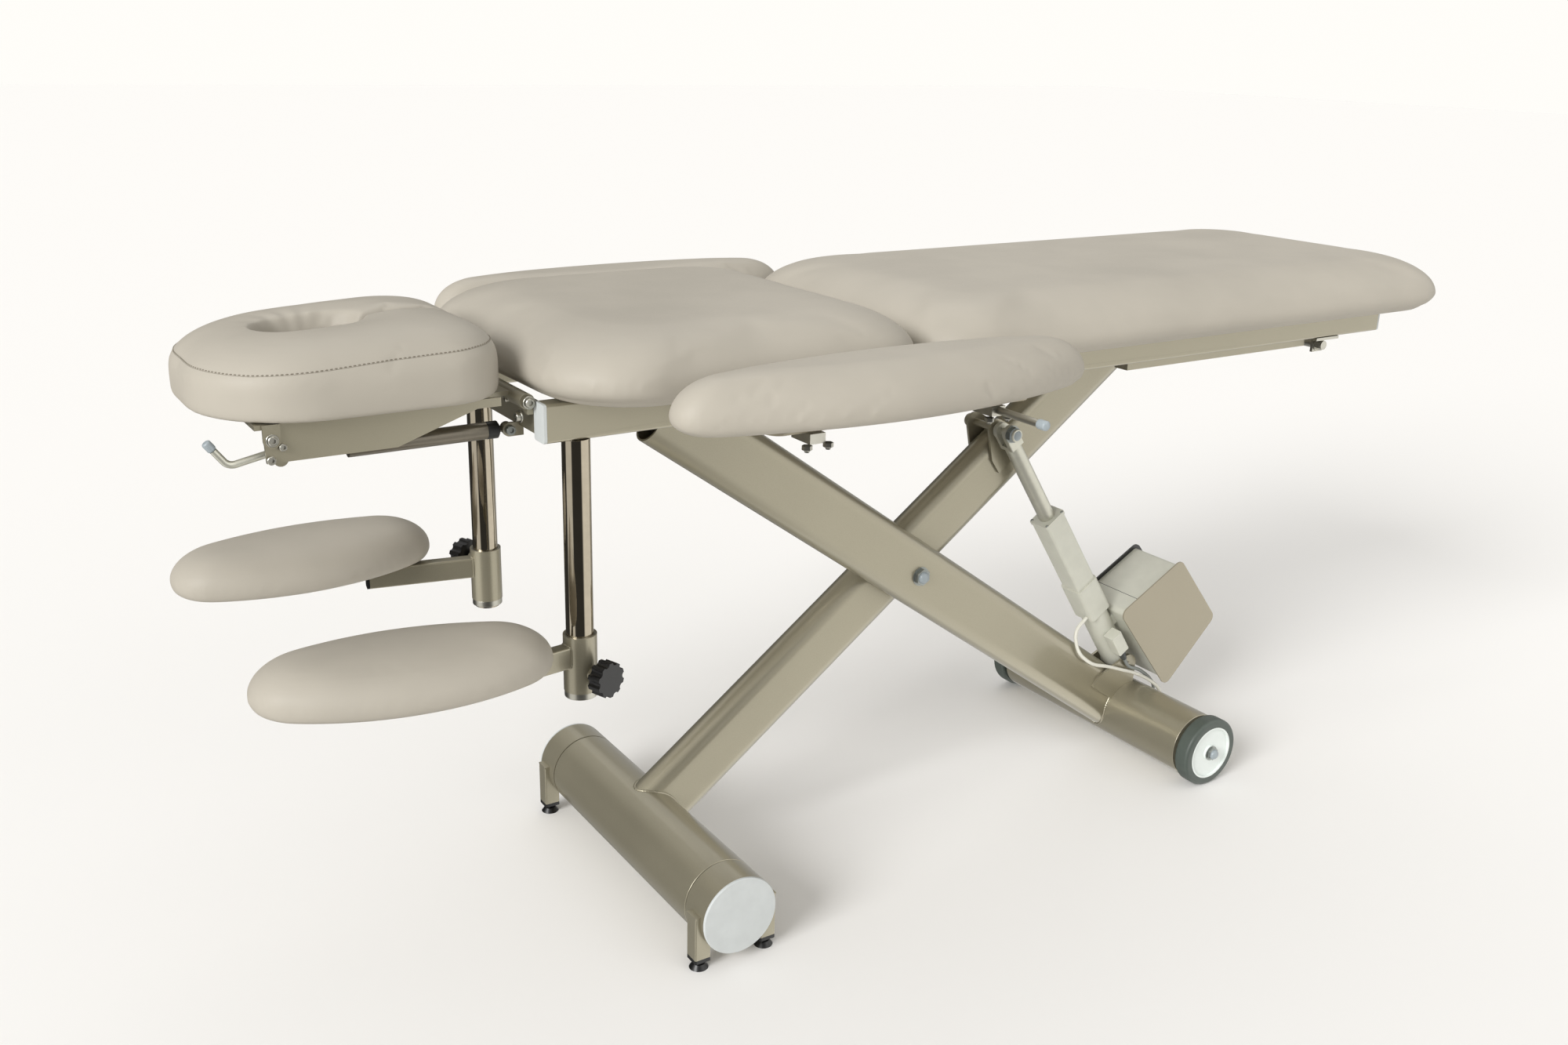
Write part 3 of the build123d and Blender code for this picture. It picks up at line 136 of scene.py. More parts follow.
class Graph(Nodes):
    """A material with one Principled shader and patterns on the piece's own coordinates."""

    def __init__(self, name: str) -> None:
        """Makes the material.

        Args:
            name: The material's name.
        """
        self.material = bpy.data.materials.new(name)
        self.material.use_nodes = True
        super().__init__(self.material.node_tree)
        self.shader = self.node("BsdfPrincipled")
        self.output = self.node("OutputMaterial", {"Surface": self.shader.outputs["BSDF"]})
        self.place = self.node("TexCoord").outputs["Object"]

    def noise(self, scale: float, octaves: float) -> bpy.types.NodeSocket:
        """Adds a noise with so many cells a metre, and gives its factor."""
        feeds = {"Vector": self.place, "Scale": scale, "Detail": octaves}
        return self.node("TexNoise", feeds).outputs["Fac"]

    def pebbles(self, scale: float) -> bpy.types.NodeSocket:
        """Adds so many cells a metre, and gives the distance to their edges."""
        feeds = {"Vector": self.place, "Scale": scale}
        return self.node("TexVoronoi", feeds, feature="DISTANCE_TO_EDGE").outputs["Distance"]

    def paint(self, colour: Place, pattern: bpy.types.NodeSocket, stops: Pair,
              tones: Pair) -> None:
        """Colours the piece with two tones of one colour.

        Args:
            colour: Red, green and blue, 0 to 255.
            pattern: The pattern that mixes the tones.
            stops: Where on the pattern the mix starts and ends.
            tones: The colour's share at those stops.
        """
        ramp = self.node("ValToRGB", {"Fac": pattern})
        for element, stop, tone in zip(ramp.color_ramp.elements, stops, tones):
            element.position = stop
            element.color = (*np.minimum(linear(colour) * tone, 1).tolist(), 1)
        self.feed(self.shader, {"Base Color": ramp.outputs["Color"]})

    def roughen(self, pattern: bpy.types.NodeSocket, middle: float, drift: Pair) -> None:
        """Lets the roughness run with a pattern.

        Args:
            pattern: The pattern, 0 to 1.
            middle: The finish's roughness.
            drift: What is added to it at 0 and at 1.
        """
        low, high = (middle + share for share in drift)
        spread = self.node("MapRange", {"Value": pattern, "To Min": low, "To Max": high})
        self.feed(self.shader, {"Roughness": spread.outputs["Result"]})

    def emboss(self, *layers: tuple[bpy.types.NodeSocket, float, float]) -> None:
        """Presses patterns into the surface, each over the one before.

        Args:
            layers: For each, its pattern, its share and its height in metres.
        """
        under: Feeds = {}
        for pattern, share, height in layers:
            feeds = {"Height": pattern, "Strength": share, "Distance": height, **under}
            under = {"Normal": self.node("Bump", feeds).outputs["Normal"]}
        self.feed(self.shader, under)


@dataclass(frozen=True)
class Coating:
    """A finish: its material's name, its colour and the record's material it belongs to."""

    name: str
    colour: Place
    slot: str = field(default="", kw_only=True)

    def build(self) -> bpy.types.Material:
        """Makes the material.

        Returns:
            The material.
        """
        graph = Graph(self.name)
        self.dress(graph)
        return graph.material

    def dress(self, graph: Graph) -> None:
        """Adds the finish's own patterns."""


@dataclass(frozen=True)
class Lacquer(Coating):
    """Metallic lacquer on steel: fine flake, slight orange peel and a clear coat."""

    metallic: float = 0.8
    roughness: float = 0.34
    coat: float = 0.5
    coat_roughness: float = 0.1
    stops: Pair = (0.3, 0.7)
    tones: Pair = (0.95, 1.05)
    flake_scale: float = 1300.0
    drift_scale: float = 9.0
    drift: Pair = (-0.05, 0.06)
    peel_scale: float = 260.0
    peel: Pair = (0.04, 0.0001)

    def dress(self, graph: Graph) -> None:
        """Adds the flake, the drift of the shine, the orange peel and the coat.

        Args:
            graph: The material's nodes.
        """
        flake = graph.noise(self.flake_scale, octaves=1)
        graph.paint(self.colour, flake, self.stops, self.tones)
        graph.roughen(graph.noise(self.drift_scale, octaves=2), self.roughness, self.drift)
        graph.emboss((graph.noise(self.peel_scale, octaves=2), *self.peel))
        graph.feed(graph.shader, {"Metallic": self.metallic, "Coat Weight": self.coat,
                                  "Coat Roughness": self.coat_roughness})


@dataclass(frozen=True)
class Leatherette(Coating):
    """Upholstery leatherette: fine pebble grain, soft sheen and a slight drift of colour."""

    roughness: float = 0.5
    specular: float = 0.22
    stops: Pair = (0.35, 0.65)
    tones: Pair = (0.94, 1.03)
    tone_scale: float = 6.0
    grain_scale: float = 900.0
    grain: Pair = (0.2, 0.0003)
    wave_scale: float = 45.0
    wave: Pair = (0.08, 0.0008)
    wear_scale: float = 300.0
    wear: Pair = (-0.06, 0.06)

    def dress(self, graph: Graph) -> None:
        """Adds the drift of colour, soft waves over the grain, and the wear.

        Args:
            graph: The material's nodes.
        """
        tone = graph.noise(self.tone_scale, octaves=3)
        graph.paint(self.colour, tone, self.stops, self.tones)
        graph.emboss((graph.pebbles(self.grain_scale), *self.grain),
                     (graph.noise(self.wave_scale, octaves=3), *self.wave))
        graph.roughen(graph.noise(self.wear_scale, octaves=2), self.roughness, self.wear)
        graph.feed(graph.shader, {"Specular IOR Level": self.specular})


@dataclass(frozen=True)
class Moulded(Coating):
    """Moulded plastic or rubber with a fine spark texture."""

    roughness: float = 0.42
    grain: float = 0.15
    grain_height: float = 0.0002
    grain_scale: float = 1500.0
    stops: Pair = (0.3, 0.7)
    tones: Pair = (0.93, 1.0)
    tone_scale: float = 40.0
    drift_scale: float = 90.0
    drift: Pair = (-0.05, 0.07)

    def dress(self, graph: Graph) -> None:
        """Adds the spark texture and the drifts of colour and shine.

        Args:
            graph: The material's nodes.
        """
        tone = graph.noise(self.tone_scale, octaves=3)
        graph.paint(self.colour, tone, self.stops, self.tones)
        spark = graph.noise(self.grain_scale, octaves=2)
        graph.emboss((spark, self.grain, self.grain_height))
        graph.roughen(graph.noise(self.drift_scale, octaves=2), self.roughness, self.drift)


@dataclass(frozen=True)
class Plated(Coating):
    """Plated or bare metal, from mirror chrome to satin aluminium."""

    roughness: float = 0.08
    drift: float = 0.04
    metallic: float = 1.0
    stops: Pair = (0.3, 0.75)
    tones: Pair = (0.9, 1.0)
    spot_scale: float = 70.0
    streak_scale: float = 420.0
    streak: Pair = (0.04, 0.0001)

    def dress(self, graph: Graph) -> None:
        """Adds the spots, and the fine streaks in shine and surface.

        Args:
            graph: The material's nodes.
        """
        spots = graph.noise(self.spot_scale, octaves=3)
        graph.paint(self.colour, spots, self.stops, self.tones)
        streaks = graph.noise(self.streak_scale, octaves=3)
        graph.roughen(streaks, self.roughness, (0, self.drift))
        graph.emboss((streaks, *self.streak))
        graph.feed(graph.shader, {"Metallic": self.metallic})


class Finish(Enum):
    """The finishes of the table's pieces."""

    LACQUER = Lacquer("bronze_lacquer", (155, 149, 129), 0.6)
    PLATE = Lacquer("sheet_lacquer", (160, 152, 132), 0.35, 0.45, 0.25, slot="bronze_lacquer")
    COVER = Leatherette("leatherette", (172, 166, 154))
    # Painted shade: this dark colour on the seam line stands for the shade in the seam's
    # groove.
    THREAD = Moulded("seam_thread", (122, 115, 101), 0.7, slot="leatherette")
    CREASE = Moulded("seam_shadow", (112, 106, 94), 0.8, slot="leatherette")
    GREY_CAP = Moulded("grey_cap", (197, 201, 200), 0.42)
    NUT_CAP = Moulded("nut_cap", (150, 159, 163), 0.35, slot="grey_cap")
    BLACK = Moulded("black_plastic", (15, 15, 16), 0.35)
    CASE = Moulded("actuator_grey", (206, 206, 193), 0.4)
    BOOT = Moulded("plug_boot", (66, 70, 70), 0.45, slot="black_plastic")
    WHITE = Moulded("white_plastic", (226, 232, 228), 0.35)
    LEAD = Moulded("pale_lead", (222, 220, 208), 0.4, slot="white_plastic")
    GREY_LEAD = Moulded("grey_lead", (136, 140, 136), 0.4, slot="grey_cap")
    TYRE = Moulded("tyre_rubber", (72, 80, 74), 0.5, 0.3)
    CHROME = Plated("chrome_steel", (172, 163, 146), 0.04)
    ZINC = Plated("zinc_steel", (186, 184, 174), 0.29, 0.08)
    SATIN = Plated("satin_metal", (202, 201, 188), 0.34, 0.08, 0.7, slot="chrome_steel")
    SPRING = Plated("spring_steel", (120, 114, 102), 0.3, 0.08, 0.8, slot="zinc_steel")
    NUT = Plated("nut_steel", (150, 154, 150), 0.3, 0.1, 0.8, slot="zinc_steel")
    # Painted shade: this near-black lacquer goes on the far guard plate, which sits in shade
    # behind the control box.
    DARK = Lacquer("black_metal", (26, 26, 26), 0.0, 0.38, 0.2)

    def material(self) -> bpy.types.Material:
        """Gives the finish's material.

        Returns:
            The material, which is made on first use.
        """
        if self.name not in MADE:
            MADE[self.name] = self.value.build()
        return MADE[self.name]

    def slot(self) -> str:
        """Gives the name of the record's material that the finish belongs to."""
        return self.value.slot or self.value.name


def body_of(node: str) -> str:
    """Gives the name of the body that carries a node."""
    return frame["nodes"][node]["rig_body"]


def read_points(mesh: bpy.types.Mesh) -> np.ndarray:
    """Reads a mesh's points.

    Args:
        mesh: The mesh.

    Returns:
        Rows of places in metres.
    """
    points = np.empty(len(mesh.vertices) * 3)
    mesh.vertices.foreach_get("co", points)
    return points.reshape(-1, 3)


def write_points(mesh: bpy.types.Mesh, points: np.ndarray) -> None:
    """Moves a mesh's points to rows of places in metres."""
    mesh.vertices.foreach_set("co", points.ravel())
    mesh.update()


def show(mesh: bpy.types.Mesh, name: str, body: str, finish: Finish) -> bpy.types.Object:
    """Smooths a mesh but for its sharp edges, and rides it on its body.

    Args:
        mesh: The mesh, in place.
        name: The piece's name.
        body: The body that the piece rides on.
        finish: The piece's finish.

    Returns:
        The new object.
    """
    work = bmesh.new()
    work.from_mesh(mesh)
    bmesh.ops.remove_doubles(work, verts=work.verts, dist=MERGE)
    bmesh.ops.dissolve_degenerate(work, dist=SLIVER, edges=work.edges)
    for face in work.faces:
        face.smooth = True
    for edge in work.edges:
        edge.smooth = edge.is_manifold and edge.calc_face_angle(0.0) < SHARP
    work.to_mesh(mesh)
    work.free()
    mesh.materials.clear()
    mesh.materials.append(finish.material())
    piece = bpy.data.objects.new(name, mesh)
    bpy.context.scene.collection.objects.link(piece)
    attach(piece, body)
    finish.slot()
    return piece


def across(way: np.ndarray) -> tuple[np.ndarray, np.ndarray]:
    """Gives two directions square to a direction and to each other.

    Args:
        way: The direction, of length one.

    Returns:
        The two directions, of length one.
    """
    helper = np.eye(3)[int(np.argmin(np.abs(way)))]
    first = np.cross(way, helper)
    first /= np.linalg.norm(first)
    return first, np.cross(way, first)


def run_length(path: np.ndarray) -> np.ndarray:
    """Gives each point's distance along a path from its start."""
    steps = np.linalg.norm(np.diff(path, axis=0), axis=1)
    return np.concatenate([[0], np.cumsum(steps)])


def dome(radius: float, height: float, foot: float) -> np.ndarray:
    """Draws a dome's profile as a quarter of an ellipse.

    Args:
        radius: Radius at the foot.
        height: Rise of the top above the foot.
        foot: Height of the foot.

    Returns:
        Rows of radius and height.
    """
    turn = np.linspace(0, math.pi / 2, 9)
    return np.stack([radius * np.cos(turn), foot + height * np.sin(turn)], axis=1)


class Mould:
    """Gathers grids of points, all in millimetres, into the mesh of one piece."""

    def __init__(self) -> None:
        """Starts with no points."""
        self.points: list[np.ndarray] = []
        self.faces: list[np.ndarray] = []
        self.count = 0

    def grid(self, points: np.ndarray) -> None:
        """Adds rows of points, each a closed ring, as a skin of quads.

        Each quad joins two neighbours of one ring to the same two of the next.

        Args:
            points: Array of rings, places in a ring and three coordinates.
        """
        rows, columns = points.shape[:2]
        index = np.arange(rows * columns).reshape(rows, columns) + self.count
        index = np.concatenate([index, index[:, :1]], axis=1)
        quads = np.stack([index[:-1, :-1], index[:-1, 1:], index[1:, 1:], index[1:, :-1]],
                         axis=-1)
        self.points.append(points.reshape(-1, 3))
        self.faces.append(quads.reshape(-1, 4))
        self.count += rows * columns

    def turned(self, start: Place, way: Place, profile: Profile, sides: int = 32) -> None:
        """Adds a turned form: a profile swept round an axis.

        Args:
            start: The axis's foot.
            way: The axis's direction.
            profile: Rows of radius and height.
            sides: Sides of each ring, with 6 for a hexagon.
        """
        axis = np.array(way, dtype=float) / np.linalg.norm(way)
        first, second = across(axis)
        angle = np.arange(sides) * 2 * math.pi / sides
        ring = np.outer(np.cos(angle), first) + np.outer(np.sin(angle), second)
        rows = np.array(profile, dtype=float)[:, :, None, None]
        self.grid(np.array(start) + rows[:, 1] * axis + rows[:, 0] * ring)

    def tube(self, path: np.ndarray, radius: np.ndarray | float, sides: int) -> None:
        """Adds a round tube along a path, closed at both ends.

        Each ring is a circle in the plane square to the path at its point.

        Args:
            path: Rows of places.
            radius: One radius for all places, or one for each.
            sides: Sides of the tube.
        """
        way = np.gradient(path, axis=0)
        way /= np.linalg.norm(way, axis=1, keepdims=True)
        helper = np.eye(3)[int(np.argmin(np.abs(way).sum(axis=0)))]
        first = np.cross(way, helper)
        first /= np.linalg.norm(first, axis=1, keepdims=True)
        second = np.cross(way, first)
        angle = (np.arange(sides) * 2 * math.pi / sides)[:, None]
        ring = first[:, None] * np.cos(angle) + second[:, None] * np.sin(angle)
        sizes = np.broadcast_to(np.array(radius, dtype=float), (len(path),))
        rings = path[:, None] + ring * sizes[:, None, None]
        ends = [np.repeat(path[i][None, None], sides, axis=1) for i in (0, -1)]
        self.grid(np.concatenate([ends[0], rings, ends[1]]))

    def build(self, name: str, body: str, finish: Finish) -> bpy.types.Object:
        """Makes the piece.

        Args:
            name: The piece's name.
            body: The body that it rides on.
            finish: Its finish.

        Returns:
            The new object.
        """
        mesh = bpy.data.meshes.new(name)
        points = np.concatenate(self.points) * MM
        mesh.from_pydata(points.tolist(), [], np.concatenate(self.faces).tolist())
        return show(mesh, name, body, finish)


@dataclass
class PhotoCamera:
    """The camera at the photograph's viewing angle."""

    eye: Place = (-1.3583, -1.7691, 1.2608)
    heading: float = 33.14
    pitch: float = 18.41
    roll: float = 1.38
    focal_pixels: float = 1847.86
    centre_pixels: Pair = (988.86, 656.62)
    frame_pixels: Pair = (2000.0, 1333.0)
    sensor: float = 36.0

    def build(self) -> None:
        """Makes the camera and gives it to the scene."""
        turn, tilt, lean = map(math.radians, (self.heading, self.pitch, self.roll))
        level = Vector((math.cos(turn), -math.sin(turn), 0))
        ahead = Vector((math.sin(turn) * math.cos(tilt), math.cos(turn) * math.cos(tilt),
                        -math.sin(tilt)))
        up = level.cross(ahead)
        right = level * math.cos(lean) + up * math.sin(lean)
        top = up * math.cos(lean) - level * math.sin(lean)
        wide, tall = self.frame_pixels
        data = bpy.data.cameras.new("photo_camera")
        data.sensor_width = self.sensor
        data.lens = self.focal_pixels * self.sensor / wide
        data.shift_x = (wide / 2 - self.centre_pixels[0]) / wide
        data.shift_y = (self.centre_pixels[1] - tall / 2) / wide
        camera = bpy.data.objects.new("photo_camera", data)
        axes = Matrix((right, top, -ahead)).transposed().to_4x4()
        camera.matrix_world = Matrix.Translation(Vector(self.eye)) @ axes
        bpy.context.scene.collection.objects.link(camera)
        bpy.context.scene.camera = camera


@dataclass(frozen=True)
class Sun:
    """A broad sun: where it shines from and its width, in degrees, and its strength."""

    name: str
    heading: float
    height: float
    strength: float
    width: float
    colour: Place = (1.0, 0.998, 1.0)

    def build(self) -> None:
        """Makes the lamp."""
        data = bpy.data.lights.new(self.name, "SUN")
        data.energy = self.strength
        data.angle = math.radians(self.width)
        data.color = self.colour
        lamp = bpy.data.objects.new(self.name, data)
        turn, rise = math.radians(self.heading), math.radians(self.height)
        back = Vector((math.cos(turn) * math.cos(rise), math.sin(turn) * math.cos(rise),
                       math.sin(rise)))
        lamp.rotation_mode = "QUATERNION"
        lamp.rotation_quaternion = (-back).to_track_quat("-Z", "Y")
        bpy.context.scene.collection.objects.link(lamp)


class Sky(Nodes):
    """The world's nodes."""

    def total(self, first: bpy.types.NodeSocket, second: object) -> bpy.types.NodeSocket:
        """Adds a socket and another or a number."""
        return self.node("Math", {0: first, 1: second}, operation="ADD").outputs[0]

    def step(self, source: bpy.types.NodeSocket, low: float, high: float,
             gain: float) -> bpy.types.NodeSocket:
        """Lets a value rise smoothly to a gain between two marks."""
        feeds = {"Value": source, "From Min": low, "From Max": high, "To Max": gain}
        return self.node("MapRange", feeds, interpolation_type="SMOOTHSTEP").outputs["Result"]


@dataclass
class Studio:
    """The pale floor without a horizon, the soft suns and what bright metal mirrors."""

    floor_size: float = 60.0
    paper: Place = (0.88, 0.868, 0.846)
    paper_roughness: float = 0.95
    dome_tint: Place = (1.0, 0.99, 0.97)
    dome_strength: float = 0.66
    backdrop: Place = (1.0, 0.985, 0.945)
    room_tint: Place = (1.0, 0.985, 0.95)
    room: float = 0.06
    ceiling: Place = (0.4, 0.85, 1.0)
    ground: Place = (-0.35, -0.85, 0.35)
    panels: tuple[Place, ...] = ((182.0, 30.0, 0.95), (325.0, 44.0, 1.3), (30.0, 34.0, 0.45))
    panel_core: float = 0.7
    suns: tuple[Sun, ...] = (Sun("key", 199, 26, 2.7, 26), Sun("fill", 290, 22, 0.35, 50),
                             Sun("back", 60, 48, 0.2, 40))

    def floor(self) -> None:
        """Makes the paper floor, which mirrors don't see."""
        half = self.floor_size / 2
        mesh = bpy.data.meshes.new("floor")
        mesh.from_pydata([(-half, -half, 0), (half, -half, 0), (half, half, 0),
                          (-half, half, 0)], [], [(0, 1, 2, 3)])
        floor = bpy.data.objects.new("floor", mesh)
        bpy.context.scene.collection.objects.link(floor)
        graph = Graph("floor_paper")
        graph.feed(graph.shader, {"Base Color": (*self.paper, 1), "Specular IOR Level": 0,
                                  "Roughness": self.paper_roughness})
        mix = graph.node("MixShader", {
            0: graph.node("LightPath").outputs["Is Glossy Ray"],
            1: graph.shader.outputs[0], 2: graph.node("BsdfTransparent").outputs[0]})
        graph.feed(graph.output, {"Surface": mix.outputs[0]})
        floor.data.materials.append(graph.material)

    def mirrored(self, sky: Sky) -> bpy.types.NodeSocket:
        """Builds what mirrors see: a dark room, a bright ceiling and floor, and light panels.

        A panel's share is the cosine between its heading and the level part of the way
        looked, stepped smoothly from the panel's edge to its core.

        Args:
            sky: The world's nodes.

        Returns:
            The strength socket.
        """
        way = sky.node("TexCoord").outputs["Generated"]
        up = sky.node("SeparateXYZ", {0: way}).outputs["Z"]
        total = sky.total(sky.step(up, *self.ceiling), sky.step(up, *self.ground))
        flat = sky.node("VectorMath", {0: way, 1: (1, 1, 0)}, operation="MULTIPLY")
        level = sky.node("VectorMath", {0: flat.outputs[0]}, operation="NORMALIZE")
        for heading, width, gain in self.panels:
            turn = math.radians(heading)
            feeds = {0: level.outputs[0], 1: (math.cos(turn), math.sin(turn), 0)}
            facing = sky.node("VectorMath", feeds, operation="DOT_PRODUCT").outputs["Value"]
            edge = math.cos(math.radians(width))
            core = math.cos(math.radians(width * self.panel_core))
            total = sky.total(total, sky.step(facing, edge, core, gain))
        return sky.total(total, self.room)

    def world(self) -> None:
        """Makes the world: pale behind, an even dome for matt faces, a room for mirrors."""
        world = bpy.data.worlds.new("studio")
        world.use_nodes = True
        sky = Sky(world.node_tree)
        shade, room, backdrop = (
            sky.node("Background", {"Color": (*tint, 1), "Strength": strength}).outputs[0]
            for tint, strength in ((self.dome_tint, self.dome_strength),
                                   (self.room_tint, self.mirrored(sky)), (self.backdrop, 1.0)))
        rays = sky.node("LightPath")
        for ray, ground in (("Is Glossy Ray", room), ("Is Camera Ray", backdrop)):
            feeds = {0: rays.outputs[ray], 1: shade, 2: ground}
            shade = sky.node("MixShader", feeds).outputs[0]
        sky.node("OutputWorld", {"Surface": shade})
        bpy.context.scene.world = world

    def build(self) -> None:
        """Makes the floor, world and suns."""
        self.floor()
        self.world()
        for sun in self.suns:
            sun.build()
        bpy.context.scene.view_settings.view_transform = "Standard"


@dataclass
class RigidPiece:
    """A rigid CAD node, dressed as a merged copy with rounded edges.

    Several finishes go to the node's separate solids, from the largest down. The edge is
    the width of the rounding in millimetres.
    """

    node: str
    finishes: tuple[Finish, ...]
    edge: float
    segments: int = 2
    least_turn: float = 40.0

    def groups(self, work: bmesh.types.BMesh) -> list[set[int]]:
        """Finds the separate solids of a mesh, each as far as its edges lead.

        Args:
            work: The merged mesh.

        Returns:
            Each solid's vertex numbers, the solid with the longest side first.
        """
        left = set(work.verts)
        groups = []
        while left:
            front = [left.pop()]
            group = set(front)
            while front:
                vert = front.pop()
                near = {edge.other_vert(vert) for edge in vert.link_edges} & left
                left -= near
                group |= near
                front.extend(near)
            groups.append({vert.index for vert in group})
        places = np.array([vert.co[:] for vert in work.verts])
        return sorted(groups, key=lambda group: -np.ptp(places[sorted(group)], axis=0).max())

    def solids(self) -> list[bpy.types.Mesh]:
        """Copies the node's mesh, one copy for each finish, with that finish's solids.

        Returns:
            The meshes, in the finishes' order, the last one with all solids left over.
        """
        source = frame["nodes"][self.node].data
        if len(self.finishes) == 1:
            return [source.copy()]
        work = bmesh.new()
        work.from_mesh(source)
        bmesh.ops.remove_doubles(work, verts=work.verts, dist=MERGE)
        groups = self.groups(work)
        last = len(self.finishes) - 1
        meshes = []
        for kept in (*groups[:last], set().union(*groups[last:])):
            part = work.copy()
            part.verts.ensure_lookup_table()
            gone = [vert for vert in part.verts if vert.index not in kept]
            bmesh.ops.delete(part, geom=gone, context="VERTS")
            mesh = bpy.data.meshes.new(self.node)
            part.to_mesh(mesh)
            part.free()
            meshes.append(mesh)
        work.free()
        return meshes

    def round_edges(self, piece: bpy.types.Object) -> None:
        """Rounds a piece's sharp edges.

        Args:
            piece: The piece.
        """
        bevel = piece.modifiers.new("edge", "BEVEL")
        bevel.width = self.edge * MM
        bevel.segments = self.segments
        bevel.limit_method = "ANGLE"
        bevel.angle_limit = math.radians(self.least_turn)
        bevel.harden_normals = False
        bevel.use_clamp_overlap = True

    def build(self) -> None:
        """Makes the node's pieces, which stand for it."""
        for number, mesh in enumerate(self.solids()):
            suffix = ".look" if number == 0 else f".look{number + 1}"
            piece = show(mesh, self.node + suffix, body_of(self.node), self.finishes[number])
            if self.edge > 0:
                self.round_edges(piece)
            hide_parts(self.node)


@dataclass(frozen=True)
class Bolt:
    """A socket bolt with an optional washer, all lengths in millimetres.

    The socket's shares are those of the radius, at its lip and at its floor.
    """

    start: Place
    way: Place
    radius: float
    height: float
    washer: float = 0.0
    chamfer: float = 0.8
    socket: Pair = (0.52, 0.5)
    socket_depth: float = 2.2
    washer_heights: Place = (-0.2, 1.0, 1.4)
    washer_chamfer: float = 0.4

    def add(self, mould: Mould) -> None:
        """Adds the bolt's head and washer.

        Args:
            mould: The mould that takes them.
        """
        r, h = self.radius, self.height
        lip, floor = (share * r for share in self.socket)
        deep = h - self.socket_depth
        mould.turned(self.start, self.way, (
            (r, 0), (r, h - self.chamfer), (r - self.chamfer, h), (lip, h), (floor, deep),
            (0, deep)))
        if self.washer:
            rim, (low, side, top) = self.washer, self.washer_heights
            mould.turned(self.start, self.way, (
                (rim, low), (rim, side), (rim - self.washer_chamfer, top), (0, top)))


@dataclass
class CapNut:
    """A hexagon nut under a round plastic cap, all lengths in millimetres."""

    name: str
    node: str
    start: Place
    way: Place
    hexagon: float
    hexagon_height: float
    cap: float
    cap_height: float
    flange: float = 1.6
    flange_heights: Pair = (-0.1, 1.2)
    chamfer: Pair = (1.2, 1.0)
    collar: float = 0.8
    collar_heights: Pair = (-0.2, 1.0)

    def build(self) -> tuple[bpy.types.Object, bpy.types.Object]:
        """Makes the nut and its cap.

        Returns:
            The two objects.
        """
        nut, cap = Mould(), Mould()
        r, h = self.hexagon, self.hexagon_height
        below, seat = self.flange_heights
        inwards, down = self.chamfer
        nut.turned(self.start, self.way,
                   ((r, seat), (r, h - down), (r - inwards, h), (0, h)), 6)
        nut.turned(self.start, self.way,
                   ((r + self.flange, below), (r + self.flange, seat), (0, seat)))
        low, high = (h + height for height in self.collar_heights)
        wide = self.cap + self.collar
        crown = dome(self.cap, self.cap_height - self.collar_heights[1], high)
        cap.turned(self.start, self.way, np.concatenate([[(wide, low), (wide, high)], crown]))
        return (nut.build(self.name + ".nut", body_of(self.node), Finish.NUT),
                cap.build(self.name + ".cap", body_of(self.node), Finish.NUT_CAP))


@dataclass
class WeldBead:
    """A rippled weld bead along a line, all lengths in millimetres."""

    name: str
    node: str
    path: np.ndarray
    radius: float = 2.2
    swell: float = 0.12
    ripple: float = 4.5
    sides: int = 8

    def build(self) -> None:
        """Makes the bead, whose radius swells with a sine of the way along it."""
        mould = Mould()
        swell = self.swell * np.sin(run_length(self.path) * 2 * math.pi / self.ripple)
        mould.tube(self.path, self.radius * (1 + swell), self.sides)
        mould.build(self.name, body_of(self.node), Finish.LACQUER)


def tube_edge(centre: Pair, radius: float, way: Pair,
              offset: np.ndarray) -> tuple[np.ndarray, np.ndarray]:
    """Finds where parallel lines leave a tube's round section.

    A line at an offset d to the side of the centre leaves the circle at a distance along
    its direction that is the root of the radius squared less d squared.

    Args:
        centre: The tube's axis in the section's plane.
        radius: Its radius.
        way: The lines' direction, of length one.
        offset: The lines' offsets to the side.

    Returns:
        The two coordinates in the section's plane, one of each for each line.
    """
    along = np.sqrt(radius ** 2 - offset ** 2)
    return (centre[0] + way[0] * along - way[1] * offset,
            centre[1] + way[1] * along + way[0] * offset)


@dataclass(frozen=True)
class ArmRoot:
    """The line where a flat-oval arm meets a cross tube, all lengths in millimetres."""

    centre: Pair
    radius: float
    way: Pair
    y: float
    depth: float = 104.0
    width: float = 50.0
    points: int = 220
    margin: float = 0.5

    def outline(self) -> np.ndarray:
        """Draws the arm's closed flat oval.

        Half of it is a straight run and a half circle, by the distance along them, and
        the other half is the same with both signs turned.

        Returns:
            Rows of a place along the oval's depth and one along its width.
        """
        straight, r = self.depth - self.width, self.width / 2
        half = straight + math.pi * r
        s = np.linspace(0, 2 * half, self.points)
        sign = np.where(s < half, 1, -1)
        run = np.where(s < half, s, s - half)
        bend = np.clip(run - straight, 0, None) / r
        along = np.minimum(run, straight) - straight / 2 + r * np.sin(bend)
        return np.stack([sign * along, sign * r * np.cos(bend)], axis=1)

    def line(self) -> np.ndarray:
        """Carries the oval back along the arm to the cross tube.

        Returns:
            Rows of places.
        """
        outline = self.outline()
        deep, wide = outline[np.abs(outline[:, 0]) < self.radius - self.margin].T
        x, z = tube_edge(self.centre, self.radius, self.way, deep)
        return np.stack([x, self.y + wide, z], axis=1)


